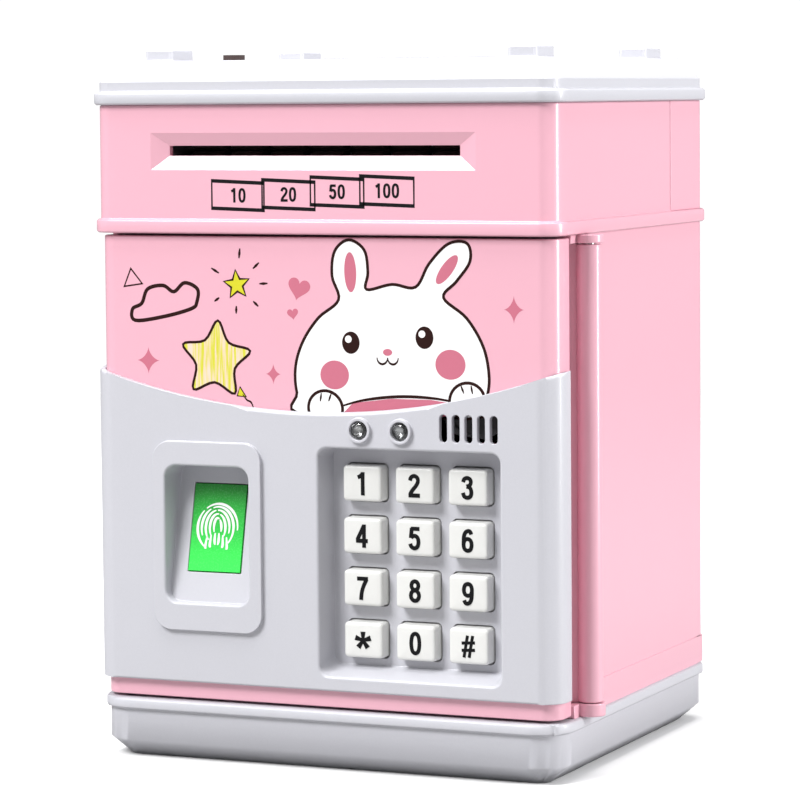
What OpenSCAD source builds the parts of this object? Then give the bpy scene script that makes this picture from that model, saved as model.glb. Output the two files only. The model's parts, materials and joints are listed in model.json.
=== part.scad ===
// Toy safe coin bank with a keypad door, a note feeder and a coin slot.
// Origin: centre of the underside. +Z is up and the door faces -Y. Millimetres.

/* [Case] */
// Width of the pink case across X
body_w = 132; // [131:0.5:133]
// Depth of the pink case along Y
body_d = 116; // [115.5:0.5:117]
// Wall thickness of the moulded shells
wall = 2.2; // [1.8:0.1:2.4]
// Corner radius of the upright edges
edge_r = 5; // [4:0.5:5.5]

/* [Levels] */
// Top of the grey base tray
base_top = 16.3; // [16:0.1:16.6]
// Underside of the pink belt between the door and the upper section
belt_z = 140.9; // [140.7:0.1:141]
// Underside of the grey cap
cap_z = 174.8; // [174.4:0.1:175.2]
// Flat top of the grey cap, without its four pegs
plateau_z = 186.4; // [186:0.1:187]

/* [Door] */
// Y of the pink door's outer face
door_y = -57.4; // [-57.6:0.1:-57.2]
// Radius of the hinge barrel
barrel_r = 3.3; // [3:0.1:3.4]
// Radius of the dished upper edge of the grey panel
dish_r = 205; // [195:5:220]

/* [Keypad] */
// Width of a key
key_w = 11.2; // [10.6:0.1:11.6]
// Height of a key
key_h = 9.6; // [9:0.1:10]

/* [Hidden] */
$fn = 48;

pink = [0.98, 0.75, 0.80];
grey = [0.86, 0.86, 0.89];
key_grey = [0.92, 0.92, 0.92];
dark = [0.25, 0.25, 0.27];
steel = [0.72, 0.73, 0.75];
rubber = [0.22, 0.16, 0.15];
gear_white = [0.93, 0.91, 0.85];
board_green = [0.10, 0.38, 0.22];

hw = body_w / 2;
hd = body_d / 2;
gap = 0.3;

// Base
base_out = 0.35;
lip_out = 1.5;
lip_h = 2.9;
lip_edge = 0.7;
base_r = 9;
chamfer = 5.7;
chamfer_z = 4.9;
post_x = 54;
post_ys = [-40, 46];
post_r = 4.6;
post_top = 12;
head_bore_r = 3.2;
head_bore_top = 10;

// Battery hatch, and the three cells above it
hatch_x = 30;
hatch_y = [1, 45];
hatch_screw_y = 41;
battery_y = 23;
cell_ys = [8, 23, 38];
cell_z = 9.6;
cell_r = 7.15;
cell_end = 24.6;
contact_x = 30.9;
contact_t = 0.5;

// Storage space
floor_z = 22.4;
front_y = -47.6;
jamb_x = 60;
jamb_y = -35.8;
skirt_out = 0.35;
skirt_z = 23.8;
cable_x = 28;
cable_y = 53.8;
cable_hole_r = 1.6;

// Hinge
hinge_x = hw + 2.2;
hinge_y = -40.2;
barrel_z0 = 19.9;
barrel_z1 = 138.4;
knuckle_r = 3.8;
low_knuckle_z = barrel_z0 - 0.2;
high_knuckle_z = barrel_z1 + 0.3;
pin_r = 1.5;
pin_play = 0.05;

// Door
door_x0 = -65.3;
door_x1 = 65.8;
door_z0 = 17;
door_z1 = belt_z - 0.7;
return_y = -48;
panel_y = -59.3;
panel_z0 = 21.5;
dish_low_z = 94.6;
dish_x = -2;
box_x0 = -58;
box_x1 = 57;
box_z0 = 24;
box_z1 = 134;
box_y = -37.5;
box_wall = 1.8;
box_screw_x = [-54, 53];
box_screw_z = [29, 79, 129];

// Keypad
pad_x0 = -0.4;
pad_x1 = 50.8;
pad_z0 = 25.4;
pad_z1 = 85.4;
pad_floor_y = -50.8;
key_x = 25;
key_z = 55.3;
key_dx = 14.9;
key_dz = 13.73;
key_face_y = -54.7;
key_corner = 1.2;
key_flange = 0.9;
key_play = 0.3;

// Finger pad, and the rounded rest it lies in
finger_x = -32.4;
finger_z = 62.45;
finger_y = -53.65;
finger_tilt = 12.6;
finger_w = 15.2;
finger_h = 23.3;
rest_x = [-44.7, -20.2];
rest_z = [43, 79.5];
rest_r = 3.4;
rest_skin = 1.5;
bezel_x = [-48.3, -16.5];
bezel_z = [35.6, 85.9];
bezel_out = 1.2;

// Lamps and speaker slots
lamp_x = [11.7, 23.3];
lamp_z = 90.3;
grille_x = 42.2;
grille_z = 91.45;
grille_pitch = 3.5;
grille_half_h = 3.6;
speaker_z = 98.2;
lens_r = 2.45;

// Latch, level with the upper part of the door
latch_y = -43.3;
latch_z = 96;
coil_x = [-44.5, -22];
coil_t = 2;

// Note slot and coin slot
slot_x = -2.35;
slot_z = 162.65;
slot_w = 83.3;
slot_h = 2.7;
frame_x0 = -48.9;
frame_x1 = 44.2;
frame_z0 = 157.6;
frame_z1 = 167.4;
coin_x = -4;
coin_y = 11;
coin_w = 32;
coin_t = 3.6;

// Note feeder
deck_z0 = belt_z + 0.1;
deck_t = 2.4;
feed_y = -45;
feed_z = 157.45;
feed_r = 5;
press_r = 4.2;
press_z = 166.95;
gear_m = 0.6;
big_teeth = 36;
small_teeth = 12;
feed_teeth = 30;
pinion_teeth = 10;
second_y = feed_y + gear_m * (feed_teeth + small_teeth) / 2;
first_y = second_y + gear_m * (big_teeth + small_teeth) / 2;
motor_y = first_y + gear_m * (big_teeth + pinion_teeth) / 2;
bracket_xl = -50;
bracket_xr = 44.5;
bracket_t = 2;
bracket_y = [-54, 6];
bracket_top = 168.5;
guide_x = [-47.8, 44.3];
guide_z = 165.3;
shaft_x0 = -51.5;
stub_r = 1;
plane_a = 47.2;
plane_b = 51.2;
plane_c = 54.8;
cover_x = 58.4;
tyre_x = [for (i = [0:6]) slot_x - 34.8 + 11.6 * i];

// Screws of the deck, the rear cover and the cap
deck_screw_x = 57;
deck_screw_ys = [-33, 49];
rear_screw_x = 40;
rear_screw_z = 155;
cap_screw_x = 59.5;
cap_screw_y = 20;
wall_reach = 64.5;
cover_y = 29;

// Cap
cap_lip_h = 3.4;
cap_band_h = 6;
peg_x = [-50.4, 53.8];
peg_y = [-43.5, 38.5];
peg_w = 8;
peg_d = 13;
peg_h = 2.9;
button_x = -50.4;
button_y = -4.5;

// --- Shared shapes ---

// Flat rectangle with round corners, from corner to corner
module rounded(x0, y0, x1, y1, r) {
    translate([x0 + r, y0]) square([x1 - x0 - 2 * r, y1 - y0]);
    translate([x0, y0 + r]) square([x1 - x0, y1 - y0 - 2 * r]);
    for (x = [x0 + r, x1 - r], y = [y0 + r, y1 - r]) translate([x, y]) circle(r);
}

// Upright prism with round corners, centred on the Z axis
module prism(half_w, half_d, r, z0, z1) {
    translate([0, 0, z0]) linear_extrude(z1 - z0) rounded(-half_w, -half_d, half_w, half_d, r);
}

// Upright block with slightly rounded corners: centre, half sizes, height range
module pillar(x, y, half_w, half_d, z0, z1) {
    translate([x, y, 0]) prism(half_w, half_d, 1, z0, z1);
}

// Rounded plate seen from the front: x and z corners, y range
module front_plate(x0, z0, x1, z1, y0, y1, r) {
    translate([0, y1, 0]) rotate([90, 0, 0]) linear_extrude(y1 - y0) rounded(x0, z0, x1, z1, r);
}

// Box given by two corners
module block(a, b) {
    translate(a) cube(b - a);
}

// Rod along X, Y or Z
module rod_x(x0, x1, y, z, r) {
    translate([x0, y, z]) rotate([0, 90, 0]) cylinder(r = r, h = x1 - x0);
}
module rod_y(y0, y1, x, z, r) {
    translate([x, y1, z]) rotate([90, 0, 0]) cylinder(r = r, h = y1 - y0);
}
module rod_z(z0, z1, x, y, r) {
    translate([x, y, z0]) cylinder(r = r, h = z1 - z0);
}

// Slab whose edge follows a profile of [inset, z] pairs all round its rounded plan
module edge_slab(half_w, half_d, r, profile) {
    last = len(profile) - 1;
    for (sx = [-1, 1], sy = [-1, 1])
        translate([sx * (half_w - r), sy * (half_d - r), 0])
            rotate_extrude() polygon(concat([[0, profile[0][1]]],
                [for (p = profile) [r - p[0], p[1]]], [[0, profile[last][1]]]));
    rotate([90, 0, 0]) linear_extrude(2 * (half_d - r), center = true)
        polygon(concat([for (p = profile) [half_w - p[0], p[1]]],
            [for (i = [last:-1:0]) [profile[i][0] - half_w, profile[i][1]]]));
    rotate([90, 0, 90]) linear_extrude(2 * (half_w - r), center = true)
        polygon(concat([for (p = profile) [half_d - p[0], p[1]]],
            [for (i = [last:-1:0]) [profile[i][0] - half_d, profile[i][1]]]));
}

// Shape that narrows evenly by an inset from z0 to z1
module narrowing(half_w, half_d, r, inset, z0, z1) {
    skin = 0.01;
    hull() {
        prism(half_w, half_d, r, z0, z0 + skin, $fn = 32);
        prism(half_w - inset, half_d - inset, max(r - inset, 0.8), z1 - skin, z1, $fn = 32);
    }
}

// Screw along +Z from its head: head radius and height, shank radius and length
module screw(head_r, head_h, shank_r, shank_l) {
    difference() {
        cylinder(r = head_r, h = head_h);
        for (a = [0, 90]) rotate(a)
            translate([-head_r * 0.6, -0.35, -0.1]) cube([head_r * 1.2, 0.7, head_h * 0.5 + 0.1]);
    }
    translate([0, 0, head_h]) cylinder(r = shank_r, h = shank_l);
}

// Involute gear outline
function involute(r, base) =
    let (t = sqrt(max(0, pow(r / base, 2) - 1))) t * 180 / PI - atan(t);
function tooth_half(r, teeth, pitch, base) =
    90 / teeth - 0.08 / pitch * 180 / PI + involute(pitch, base) - involute(max(r, base), base);
module gear_outline(teeth) {
    pitch = gear_m * teeth / 2;
    base = pitch * cos(20);
    tip = pitch + 0.7 * gear_m;
    root = pitch - 1.15 * gear_m;
    start = max(base, root);
    radii = concat([root], [for (i = [0:2]) start + (tip - start) * i / 2]);
    polygon([for (k = [0:teeth - 1]) each concat(
        [for (r = radii) let (a = 360 * k / teeth - tooth_half(r, teeth, pitch, base))
            [r * cos(a), r * sin(a)]],
        [for (i = [3:-1:0]) let (r = radii[i],
            a = 360 * k / teeth + tooth_half(r, teeth, pitch, base)) [r * cos(a), r * sin(a)]])]);
}

// Gear on an X axle; its first tooth points to +Y, turned by phase
module gear_x(teeth, phase, x0, x1, y) {
    translate([x0, y, feed_z]) rotate([90, 0, 90])
        linear_extrude(x1 - x0) rotate(phase) gear_outline(teeth);
}

// --- Base ---

module base_tray() color(grey) {
    lip_in = base_out - lip_out;
    difference() {
        edge_slab(hw + base_out, hd + base_out, base_r, [[chamfer, 0], [0, chamfer_z],
            [0, base_top - lip_h], [lip_in, base_top - lip_h], [lip_in, base_top - lip_edge],
            [lip_in + lip_edge, base_top]]);
        edge_slab(hw + base_out, hd + base_out, base_r, [[chamfer + 1.6, wall],
            [wall, chamfer_z + 2.2], [wall, base_top + 1]]);
        block([-hatch_x, hatch_y[0], -1], [hatch_x, hatch_y[1], wall + 1]);
        for (x = [-post_x, post_x], y = post_ys) rod_z(-1, head_bore_top, x, y, head_bore_r);
    }
    block([-hw + 1.5, -hd + 1, base_top - 2], [hw - 1.5, -45, base_top]);
    for (x = [-post_x, post_x], y = post_ys) difference() {
        rod_z(0.01, post_top, x, y, post_r);
        rod_z(-1, head_bore_top, x, y, head_bore_r);
        rod_z(head_bore_top - 1, post_top + 1, x, y, 1.7);
    }
}

module base_screws() color(steel)
    for (x = [-post_x, post_x], y = post_ys)
        translate([x, y, head_bore_top - 2.2]) screw(2.8, 2.2, 1.4, 9.5);

// Box over the cells, open below
module battery_box() color(dark) translate([0, battery_y, 0]) difference() {
    prism(33, 25, 2, wall, 18.9);
    prism(31.4, 23.4, 1, wall - 1, 17.3);
}

module battery_cells() for (y = cell_ys) {
    color([0.16, 0.35, 0.62]) rod_x(-cell_end, cell_end, y, cell_z, cell_r);
    color(steel) rod_x(cell_end, cell_end + 1.4, y, cell_z, 2.7);
}

// Coil and plate at the flat end of each cell, leaf and plate at the other
module battery_contacts() color(steel) for (y = cell_ys) {
    coil_step = 2.05;
    block([-contact_x - contact_t, y - 5.5, 4.5], [-contact_x, y + 5.5, 15]);
    for (k = [0:2]) rod_x(coil_step * k - contact_x, coil_step * (k + 1) - contact_x, y, cell_z,
        4.6 - 0.9 * k);
    block([contact_x, y - 5.5, 4.5], [contact_x + contact_t, y + 5.5, 15]);
    block([cell_end + 1.5, y - 2.5, 7], [contact_x, y + 2.5, 12]);
}

module battery_cover() color(grey) difference() {
    play = 0.2;
    union() {
        block([play - hatch_x, hatch_y[0] + play, 0], [hatch_x - play, hatch_y[1] - play, 1.6]);
        for (x = [-20, 20]) {
            block([x - 4, hatch_y[0] + play, 1.5], [x + 4, hatch_y[0] + 2, wall + 0.8]);
            block([x - 4, hatch_y[0] - 0.8, wall + 0.05], [x + 4, hatch_y[0] + 0.3, wall + 0.8]);
        }
    }
    for (i = [0:4]) block([-8, 8 + 2.4 * i, -1], [8, 9.2 + 2.4 * i, 0.6]);
    rod_z(-1, 3, 0, hatch_screw_y, 1.5);
    rod_z(-1, 0.8, 0, hatch_screw_y, 2.8);
}

module battery_cover_screw() color(steel)
    translate([0, hatch_screw_y, 0.1]) screw(2.6, 0.7, 1.3, 1.3);

// --- Lower housing ---

module lower_housing() color(pink) {
    difference() {
        union() {
            shell_u(hw, hd, edge_r, base_top, belt_z, wall);
            shell_u(hw + skirt_out, hd + skirt_out, edge_r, base_top, skirt_z, wall + skirt_out);
            block([-hw + 1, front_y, floor_z - 2], [hw - 1, hd - 1, floor_z]);
            block([-hw + 1, front_y, base_top], [hw - 1, front_y + wall, floor_z]);
            block([-hw + 1, front_y, belt_z - 2], [hw - 1, front_y + 3, belt_z]);
        }
        block([jamb_x, -60, low_knuckle_z], [hw + 2, jamb_y, high_knuckle_z]);
        rod_z(floor_z - 3, floor_z + 1, cable_x, cable_y, cable_hole_r);
    }
    knuckle(base_top, low_knuckle_z);
    knuckle(high_knuckle_z, belt_z);
    for (side = [-1, 1], y = deck_screw_ys) difference() {
        lug(side, wall_reach, y, belt_z - 2.9, belt_z);
        rod_z(belt_z - 4, belt_z + 1, side * deck_screw_x, y, 1.7);
    }
    for (x = [-post_x, post_x], y = post_ys) difference() {
        rod_z(post_top + 0.2, floor_z - 1, x, y, 4);
        rod_z(post_top, 19.6, x, y, 1.4);
    }
}

// Hinge knuckle joined to the side wall
module knuckle(z0, z1) difference() {
    union() {
        rod_z(z0, z1, hinge_x, hinge_y, knuckle_r);
        block([hw - 4, hinge_y - 3, z0], [hw + 1.5, hinge_y + 3, z1]);
    }
    rod_z(z0 - 1, z1 + 1, hinge_x, hinge_y, pin_r);
}

// Walls on the left, the back and the right, open at the front
module shell_u(half_w, half_d, r, z0, z1, t) {
    difference() {
        prism(half_w, half_d, r, z0, z1);
        prism(half_w - t, half_d - t, max(r - t, 0.5), z0 - 1, z1 + 1);
        block([-half_w - 1, -half_d - 1, z0 - 1], [half_w + 1, front_y, z1 + 1]);
    }
}

module hinge_pin() color(steel) rod_z(base_top + 0.2, belt_z - 0.05, hinge_x, hinge_y, pin_r);

module strike_plate() color(steel) difference() {
    block([-hw + wall, -47.3, latch_z - 10], [-59.2, -36, latch_z + 10]);
    block([-hw, -46.1, latch_z - 4.6], [-59, -39.8, latch_z + 4.6]);
}

// --- Note feeder ---

module mechanism_deck() color(grey) {
    difference() {
        union() {
            prism(hw - wall - 0.2, hd - wall - 0.2, edge_r - wall, deck_z0, deck_z0 + deck_t);
            for (x = [-rear_screw_x, rear_screw_x])
                block([x - 5, 46, deck_z0], [x + 5, hd - wall - 0.1, 160]);
        }
        block([-46, -38, deck_z0 - 1], [43, -17.3, deck_z0 + 4]);
        block([coin_x - 17, coin_y - 3, deck_z0 - 1], [coin_x + 17, coin_y + 3, deck_z0 + 4]);
        rod_z(deck_z0 - 1, deck_z0 + 4, cable_x, cable_y, cable_hole_r);
        for (x = [-deck_screw_x, deck_screw_x], y = deck_screw_ys)
            rod_z(deck_z0 - 1, deck_z0 + 4, x, y, 1.7);
        for (x = [-rear_screw_x, rear_screw_x]) rod_y(45, hd, x, rear_screw_z, 1.2);
    }
}

module deck_screws() color(steel)
    for (x = [-deck_screw_x, deck_screw_x], y = deck_screw_ys)
        translate([x, y, belt_z - 4.9]) screw(2.8, 2, 1.4, 6.8);

module upper_housing() color(pink) {
    zt = belt_z + 3.6;
    difference() {
        union() {
            edge_slab(hw + 1.2, hd + 1.2, edge_r + 1.2,
                [[0.5, belt_z], [0, belt_z + 0.5], [0, zt - 0.5], [0.5, zt]]);
            difference() {
                prism(hw, hd, edge_r, belt_z + 1, cap_z);
                block([-hw - 1, cover_y, zt], [hw + 1, hd + 1, cap_z + 1]);
            }
            front_plate(frame_x0 - 1, frame_z0 - 1.4, frame_x1 + 1, frame_z1 + 1.4,
                -hd + 0.5, -hd + 3.8, 1);
        }
        difference() {
            prism(hw - wall, hd - wall, edge_r - wall, belt_z - 1, cap_z + 1);
            block([frame_x0 - 1, -hd - 1, frame_z0 - 1.4], [frame_x1 + 1, -hd + 3.8,
                frame_z1 + 1.4]);
        }
        slot_bevel();
        front_plate(slot_x - slot_w / 2, slot_z - slot_h / 2, slot_x + slot_w / 2,
            slot_z + slot_h / 2, -hd - 1, -hd + 5, 0.4);
    }
    for (s = [-1, 1]) {
        for (y = deck_screw_ys) difference() {
            union() {
                lug(s, wall_reach, y, deck_z0 + deck_t, zt - 0.1);
                lug(s, hw - wall - 0.2, y, zt - 0.2, zt + 1.1);
            }
            rod_z(belt_z, 150, s * deck_screw_x, y, 1.4);
        }
        difference() {
            cap_post(s, 160, cap_z, cap_z, 3.8);
            rod_z(159, cap_z + 1, s * cap_screw_x, cap_screw_y, 1.6);
        }
    }
}

// Screw lug on a side wall: side, reach in X, place in Y, height range
module lug(side, reach, y, z0, z1) {
    block([min(side * 52.5, side * reach), y - 5, z0], [max(side * 52.5, side * reach), y + 5, z1]);
}

// Post for a cap screw with a web to the side wall: side, z range, web top, radius
module cap_post(side, z0, z1, web_top, r) {
    near = side * cap_screw_x;
    far = side * wall_reach;
    rod_z(z0, z1, near, cap_screw_y, r);
    block([min(near, far), cap_screw_y - 2, z0], [max(near, far), cap_screw_y + 2, web_top]);
}

// Shallow funnel round the note slot
module slot_bevel() {
    deep = 1.6;
    hull() {
        block([frame_x0, -hd - 0.02, frame_z0], [frame_x1, -hd, frame_z1]);
        block([slot_x - slot_w / 2, -hd, slot_z - slot_h / 2],
            [slot_x + slot_w / 2, -hd + deep, slot_z + slot_h / 2]);
    }
}

module upper_rear_cover() color(pink) difference() {
    prism(hw, hd, edge_r, belt_z + 3.6, cap_z);
    prism(hw - wall, hd - wall, edge_r - wall, belt_z, cap_z + 1);
    block([-hw - 1, -hd - 1, belt_z], [hw + 1, cover_y + gap, cap_z + 1]);
    for (x = [-rear_screw_x, rear_screw_x]) {
        rod_y(45, hd + 1, x, rear_screw_z, 1.6);
        rod_y(hd - 1.1, hd + 1, x, rear_screw_z, 3);
    }
}

module rear_cover_screws() color(steel)
    for (x = [-rear_screw_x, rear_screw_x])
        translate([x, hd - 0.2, rear_screw_z]) rotate([90, 0, 0]) screw(2.7, 0.9, 1.2, 8);

module coin_chute() color(grey) difference() {
    pillar(coin_x, coin_y, 19, 4.5, deck_z0 + deck_t, plateau_z - wall - 0.1);
    pillar(coin_x, coin_y, 17.4, 2.9, deck_z0, plateau_z);
}

module lower_note_guide() color(grey) {
    leg_w = 1.6;
    shelf_z = 159.9;
    block([guide_x[0], -54, shelf_z], [guide_x[1], -50.3, shelf_z + 1.2]);
    for (x = [guide_x[0], guide_x[1] - leg_w])
        block([x, -53, deck_z0 + deck_t + 0.1], [x + leg_w, -50.6, shelf_z]);
}

module upper_note_guide() color(grey) {
    bend = 9;
    rail_w = 1.8;
    bend_y = -25.2;
    low_z = guide_z - 1;
    tail_z = deck_z0 + deck_t + 0.1;
    block([guide_x[0], -54, low_z], [guide_x[1], -49.6, guide_z]);
    for (x = [guide_x[0], guide_x[1] - rail_w]) block([x, -54, low_z], [x + rail_w, -26, guide_z]);
    block([guide_x[0], -40.2, low_z], [guide_x[1], bend_y, guide_z]);
    translate([guide_x[0], bend_y, guide_z - bend]) rotate([90, 0, 90])
        linear_extrude(guide_x[1] - guide_x[0]) {
        intersection() {
            difference() {
                circle(bend, $fn = 96);
                circle(bend - 1, $fn = 96);
            }
            square(bend + 1);
        }
        translate([bend - 1, tail_z - guide_z + bend]) square([1, guide_z - bend - tail_z]);
    }
}

module bracket(x) difference() {
    block([x, bracket_y[0], deck_z0 + deck_t], [x + bracket_t, bracket_y[1], bracket_top]);
    rod_x(x - 1, x + 3, feed_y, feed_z, pin_r + pin_play);
    rod_x(x - 1, x + 3, feed_y, press_z, pin_r + pin_play);
    block([x - 1, feed_y - pin_r - pin_play, press_z], [x + 3, feed_y + pin_r + pin_play, 170]);
    block([x - 1, -30, 147], [x + 3, -24, 153]);
}

module roller_bracket_left() color(grey) bracket(bracket_xl);

module roller_bracket_right() color(grey) {
    difference() {
        bracket(bracket_xr);
        rod_x(bracket_xr - 1, bracket_xr + 3, motor_y, feed_z, 3.1);
    }
    for (y = [second_y, first_y]) rod_x(bracket_xr + bracket_t, cover_x + 1, y, feed_z, stub_r);
}

module gearbox_cover() color(grey) difference() {
    union() {
        block([cover_x, -54.5, 147.3], [cover_x + 1.5, 3, 169.5]);
        for (p = [[-53, 165.6], [-0.5, 149.6], [-25.2, 168.2]])
            rod_x(bracket_xr + bracket_t, cover_x, p[0], p[1], 1.3);
    }
    for (y = [second_y, first_y]) rod_x(cover_x - 1, cover_x + 3, y, feed_z, stub_r + 0.02);
    rod_x(cover_x - 1, cover_x + 3, motor_y, feed_z, stub_r + 0.1);
}

module feed_motor() color(steel) difference() {
    union() {
        intersection() {
            rod_x(19.5, bracket_xr, motor_y, feed_z, 10);
            block([19, motor_y - 11, feed_z - 7.5], [45, motor_y + 11, feed_z + 7.5]);
        }
        rod_x(bracket_xr - 1, bracket_xr + 1.4, motor_y, feed_z, 3);
    }
    rod_x(40, 47, motor_y, feed_z, stub_r + pin_play);
}

module pressure_springs() color(steel) for (x = [bracket_xl - 1, bracket_xr - 1])
    block([x, -50, bracket_top + 0.05], [x + 4, -36, bracket_top + 0.45]);

// Round section swept along a list of points
module tube(points, r, sides) {
    n = len(points);
    function unit(v) = v / norm(v);
    function tangent(i) = unit(points[min(i + 1, n - 1)] - points[max(i - 1, 0)]);
    function side_a(i) = unit(cross(tangent(i), [1.3, 0.2, 0.1]));
    rings = [for (i = [0:n - 1]) let (a = side_a(i), b = cross(tangent(i), a))
        each [for (k = [0:sides - 1]) points[i] + r * (a * cos(360 * k / sides)
            + b * sin(360 * k / sides))]];
    faces = concat(
        [[for (k = [0:sides - 1]) k]],
        [for (i = [0:n - 2], k = [0:sides - 1]) let (j = (k + 1) % sides)
            [i * sides + k, (i + 1) * sides + k, (i + 1) * sides + j, i * sides + j]],
        [[for (k = [sides - 1:-1:0]) (n - 1) * sides + k]]);
    polyhedron(rings, faces, convexity = 4);
}

harness_route = [[cable_x, 50, 10], [cable_x, 51, 10.4], [cable_x, 52.6, 12],
    [cable_x, cable_y, 15], [cable_x, cable_y, 20], [cable_x, cable_y, 60],
    [cable_x, cable_y, 100], [cable_x, cable_y, 146], [cable_x, 52, 150], [26, 44, 153],
    [22, 30, 155], [18.5, 14, 157], [17, 4, 158.6], [17, -2, 159.6], [17.6, -4, 160],
    [19.2, -4.2, 160]];
module wire_harness() color([0.75, 0.12, 0.12]) tube(harness_route, 1.1, 8);

// A shaft along X with a ring of tyres
module tyres(r, z) for (x = tyre_x) difference() {
    rod_x(x - 4.5, x + 4.5, feed_y, z, r);
    rod_x(x - 5, x + 5, feed_y, z, pin_r);
}
module feed_shaft() color(steel) rod_x(shaft_x0, plane_b - 0.5, feed_y, feed_z, pin_r);
module feed_tyres() color(rubber) tyres(feed_r, feed_z);
module feed_gear() color(gear_white) difference() {
    gear_x(feed_teeth, 0, plane_a, plane_a + 3.2, feed_y);
    rod_x(plane_a - 1, plane_a + 5, feed_y, feed_z, pin_r);
}
module pressure_shaft() color(steel) rod_x(shaft_x0, bracket_xr + 1.9, feed_y, press_z, pin_r);
module pressure_tyres() color(rubber) tyres(press_r, press_z);

module second_gear() color(gear_white) difference() {
    union() {
        gear_x(small_teeth, 180 / small_teeth, plane_a, plane_b + 0.1, second_y);
        gear_x(big_teeth, 0, plane_b, plane_b + 2.8, second_y);
    }
    rod_x(plane_a - 1, plane_c, second_y, feed_z, stub_r + pin_play);
}
module first_gear() color(gear_white) difference() {
    union() {
        gear_x(small_teeth, 180 / small_teeth, plane_b - 0.4, plane_c + 0.1, first_y);
        gear_x(big_teeth, 0, plane_c, plane_c + 2.8, first_y);
    }
    rod_x(plane_b - 1, plane_c + 4, first_y, feed_z, stub_r + pin_play);
}
module motor_pinion() color(gear_white) {
    gear_x(pinion_teeth, 180 / pinion_teeth, plane_c - 0.4, plane_c + 3, motor_y);
    rod_x(41, plane_c + 4.2, motor_y, feed_z, stub_r);
}

// --- Cap ---

module top_cap() color(grey) {
    lip_z = cap_z + cap_lip_h;
    band_z = cap_z + cap_band_h;
    tongue_x = 30;
    tongue_y = wall - hd + 1.7;
    inner = plateau_z - wall;
    difference() {
        union() {
            edge_slab(hw + lip_out, hd + lip_out, edge_r + lip_out,
                [[0.6, cap_z], [0, cap_z + 0.6], [0, lip_z - 0.6], [0.6, lip_z]]);
            prism(hw, hd, edge_r, lip_z - 0.5, band_z);
            narrowing(hw, hd, edge_r, plateau_z - band_z, band_z, plateau_z);
            pillar(coin_x, coin_y, 24, 6, plateau_z - 1, plateau_z + 0.8);
            for (x = peg_x, y = peg_y)
                pillar(x, y, peg_w / 2, peg_d / 2, plateau_z - 1, plateau_z + peg_h);
        }
        prism(hw - wall, hd - wall, edge_r - wall, cap_z - 1, band_z);
        narrowing(hw - wall, hd - wall, edge_r - wall, inner - band_z, band_z - 0.01, inner);
        pillar(coin_x, coin_y, coin_w / 2, coin_t / 2, inner - 1, plateau_z + 2);
        rod_z(inner - 1, plateau_z + 1, button_x, button_y, 3.15);
    }
    for (s = [-1, 1]) {
        difference() {
            cap_post(s, cap_z, 181, 180.5, 3.6);
            rod_z(cap_z - 1, 180.6, s * cap_screw_x, cap_screw_y, 1.3);
        }
        block([s * tongue_x - 5, tongue_y - 1.5, cap_z - 5], [s * tongue_x + 5, tongue_y, band_z]);
        block([s * tongue_x - 5, -hd + 1, cap_z + 1], [s * tongue_x + 5, tongue_y, band_z]);
        rod_z(180.2, inner + 0.5, button_x + s * 6, button_y, 1.4);
    }
}

module cap_screws() color(steel) for (s = [-1, 1])
    translate([s * cap_screw_x, cap_screw_y, 157.9]) screw(2.8, 2, 1.3, 20);

module top_button() color(dark) {
    rod_z(183.3, plateau_z + 1.9, button_x, button_y, 3);
    rod_z(182.3, 183.4, button_x, button_y, 4.1);
}

module button_board() color(board_green) {
    block([button_x - 8, button_y - 5, 179], [button_x + 8, button_y + 5, 180.2]);
    block([button_x - 2.5, button_y - 2.5, 180.2], [button_x + 2.5, button_y + 2.5, 181.1]);
}

// --- Door ---

// Plan of a tray whose rim stops at the return line
module door_plan(x0, x1, y0, r) difference() {
    rounded(x0, y0, x1, y0 + 40, r);
    translate([x0 - 1, return_y]) square([x1 - x0 + 2, 60]);
}

module door_shell() color(pink) {
    difference() {
        translate([0, 0, door_z0]) linear_extrude(door_z1 - door_z0)
            door_plan(door_x0, door_x1, door_y, edge_r);
        translate([0, 1, door_z0 + wall]) linear_extrude(door_z1 - door_z0 - 2 * wall)
            door_plan(door_x0 + wall, door_x1 - wall, door_y + wall - 1, edge_r - wall);
        block([pad_x0 - 1.9, -60, pad_z0 - 1.9], [pad_x1 + 1.9, -50, pad_z1 + 1.9]);
        block([rest_x[0] - 2.1, -60, rest_z[0] - 2.6], [rest_x[1] + 2.2, -50, rest_z[1] + 2.1]);
        for (x = lamp_x) rod_y(-60, -50, x, lamp_z, 3.4);
        block([grille_x - 9.5, -60, 87.6], [grille_x + 9.5, -50, 95.4]);
    }
    difference() {
        union() {
            rod_z(barrel_z0, barrel_z1, hinge_x, hinge_y, barrel_r);
            translate([0, 0, barrel_z0]) linear_extrude(barrel_z1 - barrel_z0)
                polygon([[door_x1 - 4, -50.5], [door_x1 - 2.4, -50.5], [door_x1 - 2.4, -43.8],
                    [hinge_x - 2.6, hinge_y - 1.2], [hinge_x - 2.9, hinge_y + 0.9],
                    [door_x1 - 4, -41.6]]);
        }
        rod_z(barrel_z0 - 1, barrel_z1 + 1, hinge_x, hinge_y, pin_r + pin_play);
    }
    block([door_x1 - 4, -50.6, barrel_z0], [door_x1 - 1, -48, barrel_z1]);
}

function ramp_y(z) = finger_y + tan(finger_tilt) * (z - finger_z);

// Places its children on the sloping finger rest, whose outward side is -Y
module on_ramp() translate([finger_x, finger_y, finger_z]) rotate([-finger_tilt, 0, 0]) children();

// Block from a front Y back to the sloping finger rest, or to a skin behind it
module rest_well(xs, zs, front, skin)
    translate([xs[0], 0, 0]) rotate([90, 0, 90]) linear_extrude(xs[1] - xs[0])
        polygon([[front, zs[0]], [front, zs[1]], [ramp_y(zs[1]) + skin, zs[1]],
            [ramp_y(zs[0]) + skin, zs[0]]]);

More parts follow.
